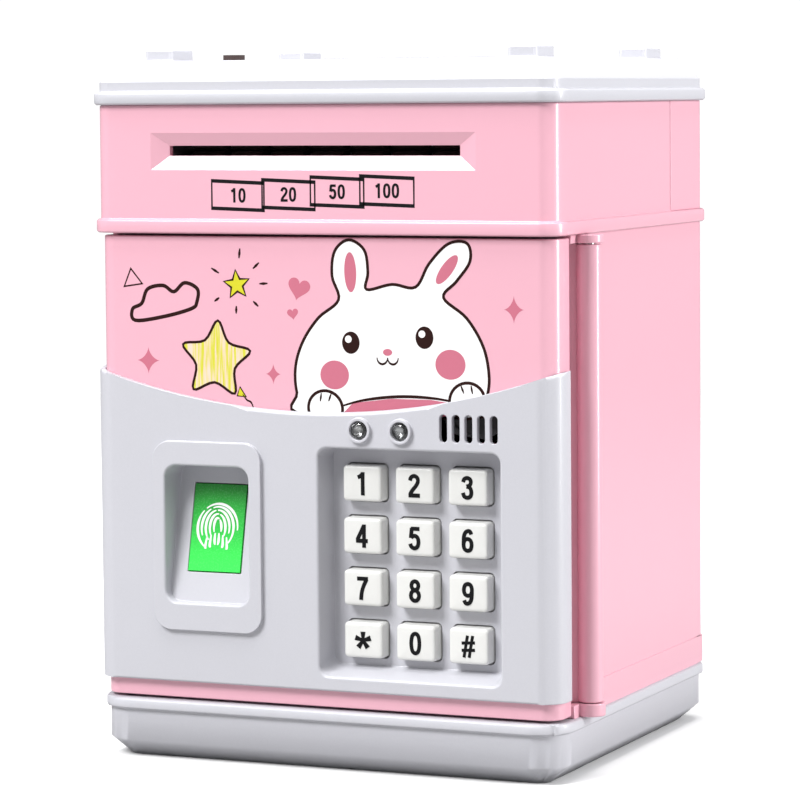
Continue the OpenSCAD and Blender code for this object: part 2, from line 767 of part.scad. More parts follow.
module door_panel() color(grey) difference() {
    union() {
        difference() {
            intersection() {
                translate([0, 0, panel_z0]) linear_extrude(100) difference() {
                    door_plan(door_x0 - 1.5, door_x1 + 1.1, panel_y, 6.5);
                    translate([0, 0.1]) door_plan(door_x0 - 0.1, door_x1 + 0.1, door_y - 0.2,
                        edge_r);
                    translate([-80, -50.5]) square([160, 20]);
                }
                block([-70, -70, panel_z0], [70, -40, 120]);
            }
            rod_y(-70, -40, dish_x, dish_low_z + dish_r, dish_r, $fn = 200);
        }
        front_plate(pad_x0 - 1.4, pad_z0 - 1.4, pad_x1 + 1.4, pad_z1 + 1.4, -59,
            pad_floor_y + 1.2, 3);
        front_plate(bezel_x[0], bezel_z[0], bezel_x[1], bezel_z[1], panel_y - bezel_out,
            door_y - 0.1, 5);
        rest_well([rest_x[0] - 1.9, rest_x[1] + 2], [rest_z[0] - 2.2, rest_z[1] + 1.7], -59,
            rest_skin);
        for (x = lamp_x) rod_y(panel_y - 1.1, door_y - 0.1, x, lamp_z, 3.3);
    }
    front_plate(pad_x0, pad_z0, pad_x1, pad_z1, -70, pad_floor_y, 2.6);
    for (c = [-1:1], r = [-1.5:1.5])
        translate([key_x + c * key_dx, 0, key_z + r * key_dz])
            key_plate(key_play, -52, -49, key_corner + 0.2);
    intersection() {
        rest_well(rest_x, rest_z, -70, 0);
        front_plate(rest_x[0], rest_z[0], rest_x[1], rest_z[1], -71, -40, rest_r);
    }
    on_ramp() block([-finger_w / 2 - key_play, -3, -finger_h / 2 - key_play],
        [finger_w / 2 + key_play, 6, finger_h / 2 + key_play]);
    for (x = lamp_x) rod_y(-62, -50, x, lamp_z, 2.5);
    for (i = [-2:2]) translate([grille_x + i * grille_pitch, 0, grille_z])
        front_plate(-1.05, -grille_half_h, 1.05, grille_half_h, -62, -50, 1.04);
}

module door_back_cover() color(pink) difference() {
    union() {
        front_plate(box_x0, box_z0, box_x1, box_z1, return_y + 0.4, box_y, 3);
        front_plate(box_x0 - 4, box_z0 - 3.6, box_x1 + 3, box_z1 + 3, return_y - 1.2,
            return_y + 0.4, 3);
    }
    front_plate(box_x0 + box_wall, box_z0 + box_wall, box_x1 - box_wall, box_z1 - box_wall,
        return_y - 2, box_y - box_wall, 1.4);
    block([box_x0 - 1, -45.8, latch_z - 4.3], [box_x0 + 3, -40.2, latch_z + 4.3]);
    for (x = box_screw_x, z = box_screw_z) rod_y(-45, -30, x, z, 1.5);
}

module door_cover_screws() color(steel) for (x = box_screw_x, z = box_screw_z)
    translate([x, box_y + 1.5, z]) rotate([90, 0, 0]) screw(2.6, 1.5, 1.3, 9);

module keypad_mat() color(dark) {
    front_plate(pad_x0 + 1, pad_z0 + 1, pad_x1 - 1, pad_z1 - 1, -46.9, -46.2, 2);
    for (c = [-1:1], r = [-1.5:1.5])
        rod_y(-47.6, -46.9, key_x + c * key_dx, key_z + r * key_dz, 3);
}

module main_board() color(board_green) {
    block([pad_x0 - 0.6, -46.1, pad_z0 + 1.4], [pad_x1 + 0.6, -44.5, pad_z1 - 1]);
    color(dark) block([10, -44.5, 50], [22, -43, 62]);
    color(dark) block([30, -44.5, 36], [44, -42.5, 44]);
}

module speaker() color(dark) difference() {
    rod_y(-54.8, -49.6, grille_x, speaker_z, 10);
    rod_y(-55, -53.8, grille_x, speaker_z, 8.6);
}

module led_lenses() color([0.9, 0.92, 0.95, 0.6]) for (x = lamp_x) {
    dome_y = -58.6;
    rod_y(dome_y, -52, x, lamp_z, lens_r);
    translate([x, dome_y, lamp_z]) rotate([90, 0, 0]) rotate_extrude()
        polygon([[0, 0], [lens_r, 0], [2.2, 0.7], [1.5, 1.3], [0.7, 1.55], [0, 1.6]]);
}

module finger_pad() color([0.15, 0.75, 0.3]) on_ramp() {
    block([-finger_w / 2, -0.2, -finger_h / 2], [finger_w / 2, 2.2, finger_h / 2]);
    block([-finger_w / 2 - 1.2, 1.9, -finger_h / 2 - 1.2],
        [finger_w / 2 + 1.2, 2.8, finger_h / 2 + 1.2]);
}

module finger_board() color(board_green) on_ramp() {
    block([-11, 5.2, -14], [11, 6.4, 14]);
    color(dark) block([-3, 3.8, -3], [3, 5.2, 3]);
}

module latch_solenoid() color(steel) difference() {
    union() {
        for (x = [coil_x[0], coil_x[1] - coil_t])
            block([x, -49, latch_z - 7], [x + coil_t, -39.6, latch_z + 7]);
        block([coil_x[0], -49, latch_z - 7], [coil_x[1], -47.6, latch_z + 7]);
        color([0.72, 0.42, 0.2]) rod_x(coil_x[0] + 1.5, coil_x[1] - 1, latch_y, latch_z, 3.6);
    }
    rod_x(coil_x[0] - 1.5, -26, latch_y, latch_z, 2);
}

// Square bolt with a sloping nose, on its plunger
module latch_bolt() color(steel) {
    nose_x = -57.6;
    nose_y = -45.5;
    difference() {
        block([nose_x, nose_y, latch_z - 4], [-47, -40.5, latch_z + 4]);
        translate([nose_x, nose_y, latch_z - 5]) rotate(-45) translate([-3, -1.2, 0])
            cube([6, 2.4, 10]);
    }
    rod_x(-48, -32, latch_y, latch_z, 1.95);
}

// Plate of a key's outline, grown by a margin
module key_plate(margin, y0, y1, r)
    front_plate(-key_w / 2 - margin, -key_h / 2 - margin, key_w / 2 + margin,
        key_h / 2 + margin, y0, y1, r);

// Key with its stop flange behind the panel
module key(col, row) color(key_grey) translate([key_x + col * key_dx, 0, key_z - row * key_dz]) {
    key_plate(0, key_face_y, -49.3, key_corner);
    key_plate(key_flange, -49.4, -48.6, key_corner);
}
module key_1() key(-1, -1.5);
module key_2() key(0, -1.5);
module key_3() key(1, -1.5);
module key_4() key(-1, -0.5);
module key_5() key(0, -0.5);
module key_6() key(1, -0.5);
module key_7() key(-1, 0.5);
module key_8() key(0, 0.5);
module key_9() key(1, 0.5);
module key_star() key(-1, 1.5);
module key_0() key(0, 1.5);
module key_hash() key(1, 1.5);

base_tray();
battery_box();
battery_cells();
battery_contacts();
battery_cover();
battery_cover_screw();
base_screws();
lower_housing();
hinge_pin();
strike_plate();
mechanism_deck();
deck_screws();
upper_housing();
upper_rear_cover();
rear_cover_screws();
top_cap();
cap_screws();
coin_chute();
lower_note_guide();
upper_note_guide();
roller_bracket_left();
roller_bracket_right();
gearbox_cover();
feed_motor();
pressure_springs();
wire_harness();
button_board();
top_button();
motor_pinion();
first_gear();
second_gear();
feed_shaft();
feed_tyres();
feed_gear();
pressure_shaft();
pressure_tyres();
door_shell();
door_panel();
door_back_cover();
door_cover_screws();
keypad_mat();
main_board();
speaker();
led_lenses();
finger_board();
latch_solenoid();
latch_bolt();
finger_pad();
key_1();
key_2();
key_3();
key_4();
key_5();
key_6();
key_7();
key_8();
key_9();
key_star();
key_0();
key_hash();
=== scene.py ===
# %% [markdown]
# # A toy safe coin bank
# The real toy is a small safe moulded in pink and silver-grey plastic. A keypad and a finger pad
# sit on a hinged door, a motor pulls notes in through a slot above it, and coins drop through the
# cap. The frame already fixes every size and every joint, so this file only makes the looks: the
# rolled edges, the keys, the print and the finishes.

# %% Load the frame
import json
import math

import bmesh
import bpy
from mathutils import Matrix, Vector


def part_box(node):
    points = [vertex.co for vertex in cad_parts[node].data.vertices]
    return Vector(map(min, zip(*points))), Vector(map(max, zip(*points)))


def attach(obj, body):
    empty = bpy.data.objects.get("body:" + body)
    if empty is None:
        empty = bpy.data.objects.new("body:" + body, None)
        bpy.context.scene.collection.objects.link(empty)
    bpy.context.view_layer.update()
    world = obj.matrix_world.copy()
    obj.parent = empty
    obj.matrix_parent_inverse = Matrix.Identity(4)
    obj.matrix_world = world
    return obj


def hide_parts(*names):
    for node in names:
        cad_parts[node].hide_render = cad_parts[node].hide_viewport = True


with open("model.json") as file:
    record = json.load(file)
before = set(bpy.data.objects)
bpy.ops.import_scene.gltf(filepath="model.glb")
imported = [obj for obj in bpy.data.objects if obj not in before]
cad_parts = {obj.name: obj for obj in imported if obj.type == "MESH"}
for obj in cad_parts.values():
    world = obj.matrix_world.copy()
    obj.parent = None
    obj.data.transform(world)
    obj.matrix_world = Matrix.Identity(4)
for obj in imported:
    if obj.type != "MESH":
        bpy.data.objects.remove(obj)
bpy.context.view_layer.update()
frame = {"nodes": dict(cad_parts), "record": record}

MM = 0.001
scene = bpy.context.scene
slot_of = {part["node"]: part["material_slot"] for part in frame["record"]["subparts"]}
body_of = {
    node: body
    for body, members in frame["record"]["behaviour"]["bodies"].items()
    for node in members
}

# %% [markdown]
# ## The camera
# The toy stands a little below the lens and is turned so that its right side shows. A long lens
# from almost a metre away keeps the upright edges nearly parallel, which is how a catalogue shows
# such a box. A small vertical shift frames the top without tilting the camera further.

# %% Camera
SENSOR = 36.0
LENS = 161.41
YAW = 0.41349
PITCH = 0.06862
ROLL = 0.00802

camera_data = bpy.data.cameras.new("camera")
camera_data.sensor_width = SENSOR
camera_data.lens = LENS
camera_data.shift_y = -0.075
camera = bpy.data.objects.new("camera", camera_data)
scene.collection.objects.link(camera)
turn = Matrix.Rotation(YAW, 4, "Z") @ Matrix.Rotation(math.pi / 2 - PITCH, 4, "X")
camera.matrix_world = (
    Matrix.Translation(Vector((393.3, -902.4, 177.3)) * MM) @ turn @ Matrix.Rotation(-ROLL, 4, "Z")
)
scene.camera = camera
print("camera:", round(camera_data.lens, 1), "mm lens")

# %% [markdown]
# ## Building shader nodes
# Every finish here is made of the same few moves: add a node, set some of its values, link others.
# One small helper does that, so that each finish below reads as a list of what it is made of.
# A second helper opens a node group with named inputs and outputs, for effects that several
# finishes share.


# %% Shader helpers
def put(tree, kind, inputs=None, **settings):
    """Adds one node. Each input is a value to set, or a socket to link."""
    made = tree.nodes.new(kind)
    for key, value in settings.items():
        setattr(made, key, value)
    for key, value in (inputs or {}).items():
        if isinstance(value, bpy.types.NodeSocket):
            tree.links.new(value, made.inputs[key])
        else:
            made.inputs[key].default_value = value
    return made


def open_group(name, takes, gives):
    """A node group with named sockets. Returns it with its inner input and output nodes."""
    group = bpy.data.node_groups.new(name, "ShaderNodeTree")
    for label, kind, value in takes:
        socket = group.interface.new_socket(label, in_out="INPUT", socket_type=kind)
        socket.default_value = value
    for label, kind in gives:
        group.interface.new_socket(label, in_out="OUTPUT", socket_type=kind)
    start = group.nodes.new("NodeGroupInput").outputs
    end = group.nodes.new("NodeGroupOutput").inputs
    return group, start, end


def ramp_between(tree, value, low, high, to_low, to_high):
    """Maps a value smoothly from one range to another."""
    inputs = {0: value, 1: low, 2: high, 3: to_low, 4: to_high}
    return put(tree, "ShaderNodeMapRange", inputs, interpolation_type="SMOOTHSTEP").outputs[0]


def open_material(name):
    """A material with a Principled surface. Returns it, its tree and the surface node."""
    material = bpy.data.materials.new(name)
    material.use_nodes = True
    tree = material.node_tree
    return material, tree, tree.nodes["Principled BSDF"]


# %% [markdown]
# ## The skin of moulded plastic
# Moulded plastic is never one flat colour. The melt leaves slow drifts of tone, the steel tool is
# spark-eroded so the skin has a fine grain, and handling leaves faint patches of more or less
# gloss. This group makes all three from noise in the piece's own space, so they stay put when the
# door swings.

# %% Node group: moulded skin
COLOUR = "NodeSocketColor"
FLOAT = "NodeSocketFloat"
VECTOR = "NodeSocketVector"

skin, takes, gives = open_group(
    "moulded_skin",
    [
        ("Colour", COLOUR, (0.8, 0.8, 0.8, 1)),
        ("Drift", FLOAT, 0.03),
        ("Fleck", FLOAT, 0.02),
        ("Grain Scale", FLOAT, 1500.0),
        ("Grain Height", FLOAT, 0.000004),
        ("Roughness", FLOAT, 0.35),
        ("Handling", FLOAT, 0.05),
    ],
    [("Colour", COLOUR), ("Roughness", FLOAT), ("Normal", VECTOR)],
)
place = put(skin, "ShaderNodeTexCoord").outputs["Object"]
slow = put(skin, "ShaderNodeTexNoise", {"Vector": place, "Scale": 22.0, "Detail": 3.0}).outputs[0]
grain = put(
    skin,
    "ShaderNodeTexNoise",
    {"Vector": place, "Scale": takes["Grain Scale"], "Detail": 2.0, "Roughness": 0.6},
).outputs[0]
patch = put(skin, "ShaderNodeTexNoise", {"Vector": place, "Scale": 60.0, "Detail": 6.0}).outputs[0]


def swing(tree, noise, amount):
    """Centres a noise on zero and scales it by an amount."""
    centred = put(tree, "ShaderNodeMath", {0: noise, 1: 0.5}, operation="SUBTRACT").outputs[0]
    return put(tree, "ShaderNodeMath", {0: centred, 1: amount}, operation="MULTIPLY").outputs[0]


drift = swing(skin, slow, takes["Drift"])
fleck = swing(skin, grain, takes["Fleck"])
tone = put(skin, "ShaderNodeMath", {0: drift, 1: fleck}, operation="ADD").outputs[0]
level = put(skin, "ShaderNodeMath", {0: tone, 1: 1.0}, operation="ADD").outputs[0]
toned = put(
    skin, "ShaderNodeVectorMath", {0: takes["Colour"], "Scale": level}, operation="SCALE"
).outputs[0]
gloss = swing(skin, patch, takes["Handling"])
rough = put(skin, "ShaderNodeMath", {0: takes["Roughness"], 1: gloss}, operation="ADD").outputs[0]
bump = put(
    skin, "ShaderNodeBump", {"Height": grain, "Distance": takes["Grain Height"], "Strength": 1.0}
).outputs[0]
skin.links.new(toned, gives["Colour"])
skin.links.new(rough, gives["Roughness"])
skin.links.new(bump, gives["Normal"])
print("group:", skin.name, "with", len(skin.nodes), "nodes")

# %% [markdown]
# ## The plastics
# The case and the door are glossy pink ABS, the panel, cap and base a silver-grey with a satin
# skin, the keys an off-white, and the inside parts a plain grey. They are all one recipe with
# other numbers, so one function mixes them.


# %% Plastics
def plastic(name, colour, roughness, grain, height, drift=0.03, fleck=0.02, coat=0.0):
    """A moulded plastic: colour is linear, grain is in waves per metre, height in metres."""
    material, tree, surface = open_material(name)
    values = {
        "Colour": (*colour, 1),
        "Drift": drift,
        "Fleck": fleck,
        "Grain Scale": grain,
        "Grain Height": height,
        "Roughness": roughness,
        "Handling": 0.08,
    }
    made = put(tree, "ShaderNodeGroup", node_tree=skin)
    for key, value in values.items():
        made.inputs[key].default_value = value
    tree.links.new(made.outputs["Colour"], surface.inputs["Base Color"])
    tree.links.new(made.outputs["Roughness"], surface.inputs["Roughness"])
    tree.links.new(made.outputs["Normal"], surface.inputs["Normal"])
    surface.inputs["Coat Weight"].default_value = coat
    surface.inputs["Coat Roughness"].default_value = 0.08
    return material


finish = {
    "pink_plastic": plastic("pink_abs", (0.75, 0.40, 0.485), 0.3, 900, 2e-6, 0.03, 0.01, 0.3),
    "grey_plastic": plastic(
        "silver_grey_abs", (0.512, 0.512, 0.552), 0.42, 1700, 5e-6, 0.03, 0.06, 0.1
    ),
    "key_plastic": plastic("key_abs", (0.70, 0.70, 0.68), 0.3, 1200, 3e-6, 0.03, 0.02, 0.15),
    "inner_plastic": plastic("inner_grey_abs", (0.42, 0.42, 0.46), 0.5, 1200, 6e-6),
    "gear_plastic": plastic("natural_acetal", (0.72, 0.68, 0.58), 0.42, 900, 3e-6),
    "dark_plastic": plastic("black_abs", (0.035, 0.035, 0.04), 0.45, 1500, 6e-6, 0.1, 0.1),
    "dark_rubber": plastic("dark_rubber", (0.05, 0.03, 0.028), 0.78, 2400, 1.5e-5, 0.2, 0.25),
    "wire_jacket": plastic("red_pvc", (0.5, 0.03, 0.03), 0.42, 1500, 3e-6),
}
print("plastics:", ", ".join(finish))

# %% [markdown]
# ## Metal
# Screws, shafts and springs are zinc-plated steel. Drawing and turning leave fine lines along one
# direction, which a noise stretched along X gives, and they break the reflection up without
# changing the colour much.


# %% Steel
def mix_colour(tree, factor, first, second):
    """Mixes two colours, each a value or a socket, and returns the mixed socket."""
    inputs = {0: factor, 6: first, 7: second}
    return put(tree, "ShaderNodeMix", inputs, data_type="RGBA").outputs[2]


steel, tree, surface = open_material("zinc_steel")
place = put(tree, "ShaderNodeTexCoord").outputs["Object"]
drawn = put(tree, "ShaderNodeMapping", {"Vector": place, "Scale": (60.0, 2500.0, 2500.0)})
lines = put(tree, "ShaderNodeTexNoise", {"Vector": drawn.outputs[0], "Scale": 1.0}).outputs[0]
bloom = put(tree, "ShaderNodeTexNoise", {"Vector": place, "Scale": 240.0, "Detail": 4.0}).outputs[0]
tint = mix_colour(tree, bloom, (0.52, 0.53, 0.55, 1), (0.66, 0.65, 0.62, 1))
tree.links.new(tint, surface.inputs["Base Color"])
tree.links.new(ramp_between(tree, bloom, 0.3, 0.7, 0.24, 0.4), surface.inputs["Roughness"])
bump = put(tree, "ShaderNodeBump", {"Height": lines, "Distance": 4e-6}).outputs[0]
tree.links.new(bump, surface.inputs["Normal"])
surface.inputs["Metallic"].default_value = 1.0
finish["steel"] = steel
print("metal:", steel.name)

# %% [markdown]
# ## Cells and circuit boards
# A dry cell wears a printed sleeve: blue along most of its length with a pale band at one end.
# A circuit board is green lacquer over copper tracks, so the tracks show as slightly lighter,
# slightly raised lines. A brick pattern with wide mortar stands for the grid of tracks.

# %% Cell sleeve and board
sleeve, tree, surface = open_material("cell_sleeve")
place = put(tree, "ShaderNodeTexCoord").outputs["Object"]
along = put(tree, "ShaderNodeSeparateXYZ", {0: place}).outputs[0]
band = ramp_between(tree, along, 13.0 * MM, 13.4 * MM, 0.0, 1.0)
scuffed = put(tree, "ShaderNodeTexNoise", {"Vector": place, "Scale": 400.0}).outputs[0]
blue = mix_colour(tree, scuffed, (0.03, 0.10, 0.34, 1), (0.05, 0.15, 0.42, 1))
sleeve_colour = mix_colour(tree, band, blue, (0.72, 0.70, 0.66, 1))
tree.links.new(sleeve_colour, surface.inputs["Base Color"])
tree.links.new(ramp_between(tree, scuffed, 0.3, 0.7, 0.22, 0.34), surface.inputs["Roughness"])
finish["cell_jacket"] = sleeve

board, tree, surface = open_material("circuit_board")
place = put(tree, "ShaderNodeTexCoord").outputs["Object"]
turned = put(tree, "ShaderNodeMapping", {"Vector": place, "Rotation": (math.pi / 2, 0, 0)})
tracks = put(
    tree,
    "ShaderNodeTexBrick",
    {"Vector": turned.outputs[0], "Scale": 190.0, "Mortar Size": 0.12, "Mortar Smooth": 0.2},
)
lacquer = mix_colour(
    tree, tracks.outputs["Fac"], (0.015, 0.12, 0.05, 1), (0.03, 0.22, 0.09, 1)
)
tree.links.new(lacquer, surface.inputs["Base Color"])
raised = put(tree, "ShaderNodeBump", {"Height": tracks.outputs["Fac"], "Distance": 3.5e-5})
tree.links.new(raised.outputs[0], surface.inputs["Normal"])
surface.inputs["Roughness"].default_value = 0.3
finish["board"] = board
print("printed parts:", sleeve.name, "and", board.name)

# %% [markdown]
# ## Lens and finger pad
# The two lamps have clear moulded lenses, so they need a material that lets light through and
# bends it. The finger pad is printed green under a clear coat. Its green is painted lighter towards
# its lower edge and darker towards its top, a painted shade where the recess's upper wall shades
# the pad.
# The painted shade follows the height on the piece itself.

# %% Lens and pad
lens, tree, surface = open_material("lamp_lens")
place = put(tree, "ShaderNodeTexCoord").outputs["Object"]
haze = put(tree, "ShaderNodeTexNoise", {"Vector": place, "Scale": 700.0}).outputs[0]
tree.links.new(ramp_between(tree, haze, 0.3, 0.7, 0.02, 0.09), surface.inputs["Roughness"])
surface.inputs["Base Color"].default_value = (0.92, 0.93, 0.94, 1)
surface.inputs["Transmission Weight"].default_value = 1.0
surface.inputs["IOR"].default_value = 1.49
finish["lamp_lens"] = lens

pad_low, pad_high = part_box("finger_pad")
pad_green, tree, surface = open_material("finger_pad_print_painted_shade")
place = put(tree, "ShaderNodeTexCoord").outputs["Object"]
height = put(tree, "ShaderNodeSeparateXYZ", {0: place}).outputs[2]
# Painted shade: the pad's green darkens towards its top, where the recess's upper wall shades it,
# and is lightest at its lower edge.
rise = ramp_between(tree, height, pad_low.z, pad_high.z, 0.0, 1.0)
dots = put(tree, "ShaderNodeTexNoise", {"Vector": place, "Scale": 2600.0}).outputs[0]
pad_tone_painted_shade = mix_colour(tree, rise, (0.05, 0.78, 0.10, 1), (0.02, 0.28, 0.035, 1))
printed = mix_colour(tree, swing(tree, dots, 0.25), pad_tone_painted_shade, (0.10, 0.85, 0.2, 1))
tree.links.new(printed, surface.inputs["Base Color"])
tree.links.new(ramp_between(tree, dots, 0.3, 0.7, 0.2, 0.3), surface.inputs["Roughness"])
surface.inputs["Coat Weight"].default_value = 0.4
finish["green_pad"] = pad_green
print("lens and pad:", lens.name, pad_green.name)

# %% [markdown]
# ## Inks
# The pictures on the door are pad-printed in flat inks a few hundredths of a millimetre thick.
# Ink is matt beside the glossy plastic, and it takes up a little of the skin's grain, so the same
# skin group serves with less gloss. The big star is filled in by hand-drawn hatching, made from
# stretched noise that mixes yellow with the paper-white below it.


# %% Inks
def ink(name, colour):
    """A printed ink in one linear colour, which mirrors less than the plastic under it."""
    made = plastic(name, colour, 0.55, 1500, 2e-6, 0.04, 0.03)
    made.node_tree.nodes["Principled BSDF"].inputs["Specular IOR Level"].default_value = 0.12
    return made


inks = {
    "white": ink("ink_white", (0.84, 0.83, 0.83)),
    "brown": ink("ink_brown", (0.022, 0.006, 0.005)),
    "black": ink("ink_black", (0.006, 0.006, 0.007)),
    "rose": ink("ink_rose", (0.53, 0.155, 0.22)),
    "yellow": ink("ink_yellow", (0.60, 0.57, 0.03)),
}

hatched, tree, surface = open_material("ink_hatched_yellow")
place = put(tree, "ShaderNodeTexCoord").outputs["Object"]
leaning = put(
    tree,
    "ShaderNodeMapping",
    {"Vector": place, "Rotation": (0, math.radians(12), 0), "Scale": (1300.0, 1.0, 75.0)},
)
strands = put(tree, "ShaderNodeTexNoise", {"Vector": leaning.outputs[0], "Scale": 1.0}).outputs[0]
cover = ramp_between(tree, strands, 0.36, 0.62, 0.0, 1.0)
hatching = mix_colour(tree, cover, (0.80, 0.60, 0.50, 1), (0.60, 0.58, 0.03, 1))
tree.links.new(hatching, surface.inputs["Base Color"])
tree.links.new(ramp_between(tree, strands, 0.3, 0.7, 0.45, 0.6), surface.inputs["Roughness"])
inks["hatched"] = hatched
print("inks:", ", ".join(inks))

# %% [markdown]
# ## Finishes on the frame's own parts
# Screws, shafts, gears, boards and brackets already have their true shape in the frame, so they
# stay and only take a finish. The record says which slot each part belongs to.

# %% Finish every frame part
for name, part in frame["nodes"].items():
    part.data.materials.clear()
    part.data.materials.append(finish[slot_of[name]])
print("finished", len(frame["nodes"]), "frame parts")

# %% [markdown]
# ## Shells with rolled edges
# A tool cannot mould a knife edge: each corner of a plastic shell is rounded by a few tenths of a
# millimetre, and that small curve is what catches the light. The quickest honest way to it is to
# take a copy of the frame's shell, heal its seams, and bevel every sharp edge. Edges that the real
# toy rounds more, such as the rim of the panel, are picked first and get a wider bevel.

# %% Rolled edges
SEAM = 2e-6
FLAT = math.radians(0.6)
SHARP = math.radians(55)
CROSSING = 0.8
TWO_BEVELS = 2.05
NARROW_STEPS = 2
WIDE_STEPS = 4


def link_piece(name, mesh, node=None, body=None):
    """Puts a mesh in the scene as a piece that rides on a body."""
    piece = bpy.data.objects.new(name, mesh)
    scene.collection.objects.link(piece)
    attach(piece, body or body_of[node])
    return piece


def has_room(edge, radius):
    """True when no crossing edge at either end is too short for two bevels."""
    along = (edge.verts[1].co - edge.verts[0].co).normalized()
    for v in edge.verts:
        for other in v.link_edges:
            across = other.other_vert(v).co - v.co
            crossing = abs(along.dot(across.normalized())) < CROSSING
            if other is not edge and crossing and across.length < TWO_BEVELS * radius * MM:
                return False
    return True


def roll_edges(work, chosen, radius, segments):
    """Bevels the chosen edges that really turn a corner."""
    sharp = [e for e in work.edges if e.is_manifold and e.calc_face_angle(0) > SHARP]
    picked = [e for e in sharp if chosen((e.verts[0].co + e.verts[1].co) / 2)]
    picked = [e for e in picked if has_room(e, radius)]
    bmesh.ops.bevel(
        work,
        geom=picked,
        offset=radius * MM,
        segments=segments,
        profile=0.5,
        affect="EDGES",
        clamp_overlap=False,
    )


def smooth_all(piece):
    """Smooth shading, with big flat faces keeping their own direction."""
    faces = piece.data.polygons
    faces.foreach_set("use_smooth", [True] * len(faces))
    piece.modifiers.new("flat_faces", "WEIGHTED_NORMAL").keep_sharp = True


def moulded(node, radius, wide=(), reshape=None):
    """A copy of a frame shell with rolled edges, which stands for that node.

    Edges that are too cramped to roll stay crisp, so that their shading stays clean.
    """
    work = bmesh.new()
    work.from_mesh(frame["nodes"][node].data)
    bmesh.ops.remove_doubles(work, verts=work.verts, dist=SEAM)
    bmesh.ops.dissolve_limit(work, angle_limit=FLAT, verts=work.verts, edges=work.edges)
    for edge in work.edges:
        edge.smooth = True
    if reshape:
        reshape(work)
    for chosen, wide_radius in wide:
        roll_edges(work, chosen, wide_radius, WIDE_STEPS)
    roll_edges(work, lambda middle: True, radius, NARROW_STEPS)
    for edge in work.edges:
        if len(edge.link_faces) == 2 and edge.calc_face_angle() > SHARP:
            edge.smooth = False
    mesh = bpy.data.meshes.new(node + "_moulded")
    work.to_mesh(mesh)
    work.free()
    mesh.materials.append(finish[slot_of[node]])
    piece = link_piece(node + "_moulded", mesh, node)
    smooth_all(piece)
    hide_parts(node)
    print(piece.name, len(mesh.polygons), "faces")


# %% [markdown]
# ## The case
# The pink case is three shells: the storage tub, the upper housing with its belt, and a cover over
# the back of the upper section. The grey cap and the base tray close it off. Their lips are
# rounded. The bevel round the note slot folds too little to be rolled, so its facets meet in
# crisp lines.

# %% Case shells
CREASE_FROM = 15
CREASE_TO = 42


def crisp_bevel(work):
    """Keeps folds that are too shallow to roll crisp, as around the note slot."""
    for edge in work.edges:
        if len(edge.link_faces) == 2:
            fold = math.degrees(edge.calc_face_angle())
            edge.smooth = not CREASE_FROM < fold < CREASE_TO


moulded("lower_housing", 0.35)
moulded("upper_housing", 0.4, reshape=crisp_bevel)
moulded("upper_rear_cover", 0.25)
moulded("top_cap", 0.45)
moulded("base_tray", 0.45)
moulded("battery_cover", 0.2)

# %% [markdown]
# ## The door
# The door is a shallow pink tray with its barrel moulded on, closed at the back by a box that
# holds the electronics. The panel is a separate grey moulding. Its recess has draft: the walls
# lean so that the part leaves the tool, the lower one most, and this is what makes the bright
# ledge under the keys.

# %% Door shells
FLOOR_DRAFT = (0.7 * MM, 0.3 * MM, 2.3 * MM, 0.4 * MM)

key_boxes = [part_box(node) for node in body_of if node.startswith("key_")]
key_low = Vector((min(low[i] for low, high in key_boxes) for i in range(3)))
key_high = Vector((max(high[i] for low, high in key_boxes) for i in range(3)))
mat_low, mat_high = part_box("keypad_mat")
MAT_INSET = 1.0 * MM
RECESS_FLOOR = -50.8 * MM
recess_low = Vector((mat_low.x - MAT_INSET, 0, mat_low.z - MAT_INSET))
recess_high = Vector((mat_high.x + MAT_INSET, 0, mat_high.z + MAT_INSET))


def draft_recess(work):
    """Leans the keypad recess's walls inwards by shrinking the outline of its floor."""
    left, right, low, top = FLOOR_DRAFT
    for v in work.verts:
        beside = v.co.x < key_low.x or v.co.x > key_high.x
        beyond = v.co.z < key_low.z or v.co.z > key_high.z
        inside = recess_low.x - SEAM < v.co.x < recess_high.x + SEAM
        within = recess_low.z - SEAM < v.co.z < recess_high.z + SEAM
        if abs(v.co.y - RECESS_FLOOR) < SEAM and (beside or beyond) and inside and within:
            share = (v.co.x - recess_low.x) / (recess_high.x - recess_low.x)
            rise = (v.co.z - recess_low.z) / (recess_high.z - recess_low.z)
            v.co.x += left * (1 - share) - right * share
            v.co.z += low * (1 - rise) - top * rise


panel_low, panel_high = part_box("door_panel")
BEZEL_PROUD = 1.2 * MM
PANEL_CORNER = 6.5 * MM
DISH_RADIUS = 205 * MM
DISH_CENTRE = (-2 * MM, (94.6 + 205) * MM)
panel_front = panel_low.y + BEZEL_PROUD


def on_dish(p):
    """On the outer skin, along the panel's dished upper edge."""
    off_arc = abs(math.hypot(p.x - DISH_CENTRE[0], p.z - DISH_CENTRE[1]) - DISH_RADIUS)
    middle = (panel_low.x + panel_high.x) / 2
    flat = (panel_high.x - panel_low.x) / 2 - PANEL_CORNER
    aside = max(abs(p.x - middle) - flat, 0)
    ahead = max(panel_front + PANEL_CORNER - p.y, 0)
    return off_arc < 0.1 * MM and math.hypot(aside, ahead) > PANEL_CORNER - 0.8 * MM


def on_front_rim(p):
    """On a recess's mouth, the finger bezel's edge, or the panel's lower edge."""
    near_lamps = p.z > recess_high.z + 0.5 * MM and p.x > recess_low.x
    foot = abs(p.y - panel_front) < 0.05 * MM and p.x < recess_low.x - 5 * MM
    return p.y < panel_front + 0.1 * MM and not near_lamps and not (foot and p.z > 30 * MM)


moulded("door_shell", 0.4)
moulded("door_panel", 0.22, ((on_dish, 1.15), (on_front_rim, 0.7)), draft_recess)
moulded("door_back_cover", 0.5)

# %% [markdown]
# ## Keys
# Each key is a small loaf: straight sides with a touch of draft, a rolled edge, and a face that
# crowns very slightly so that it catches a soft light. A loaf like that is a stack of rounded
# rectangles, so a loft between rings gives it exactly, with no bevel to go wrong.


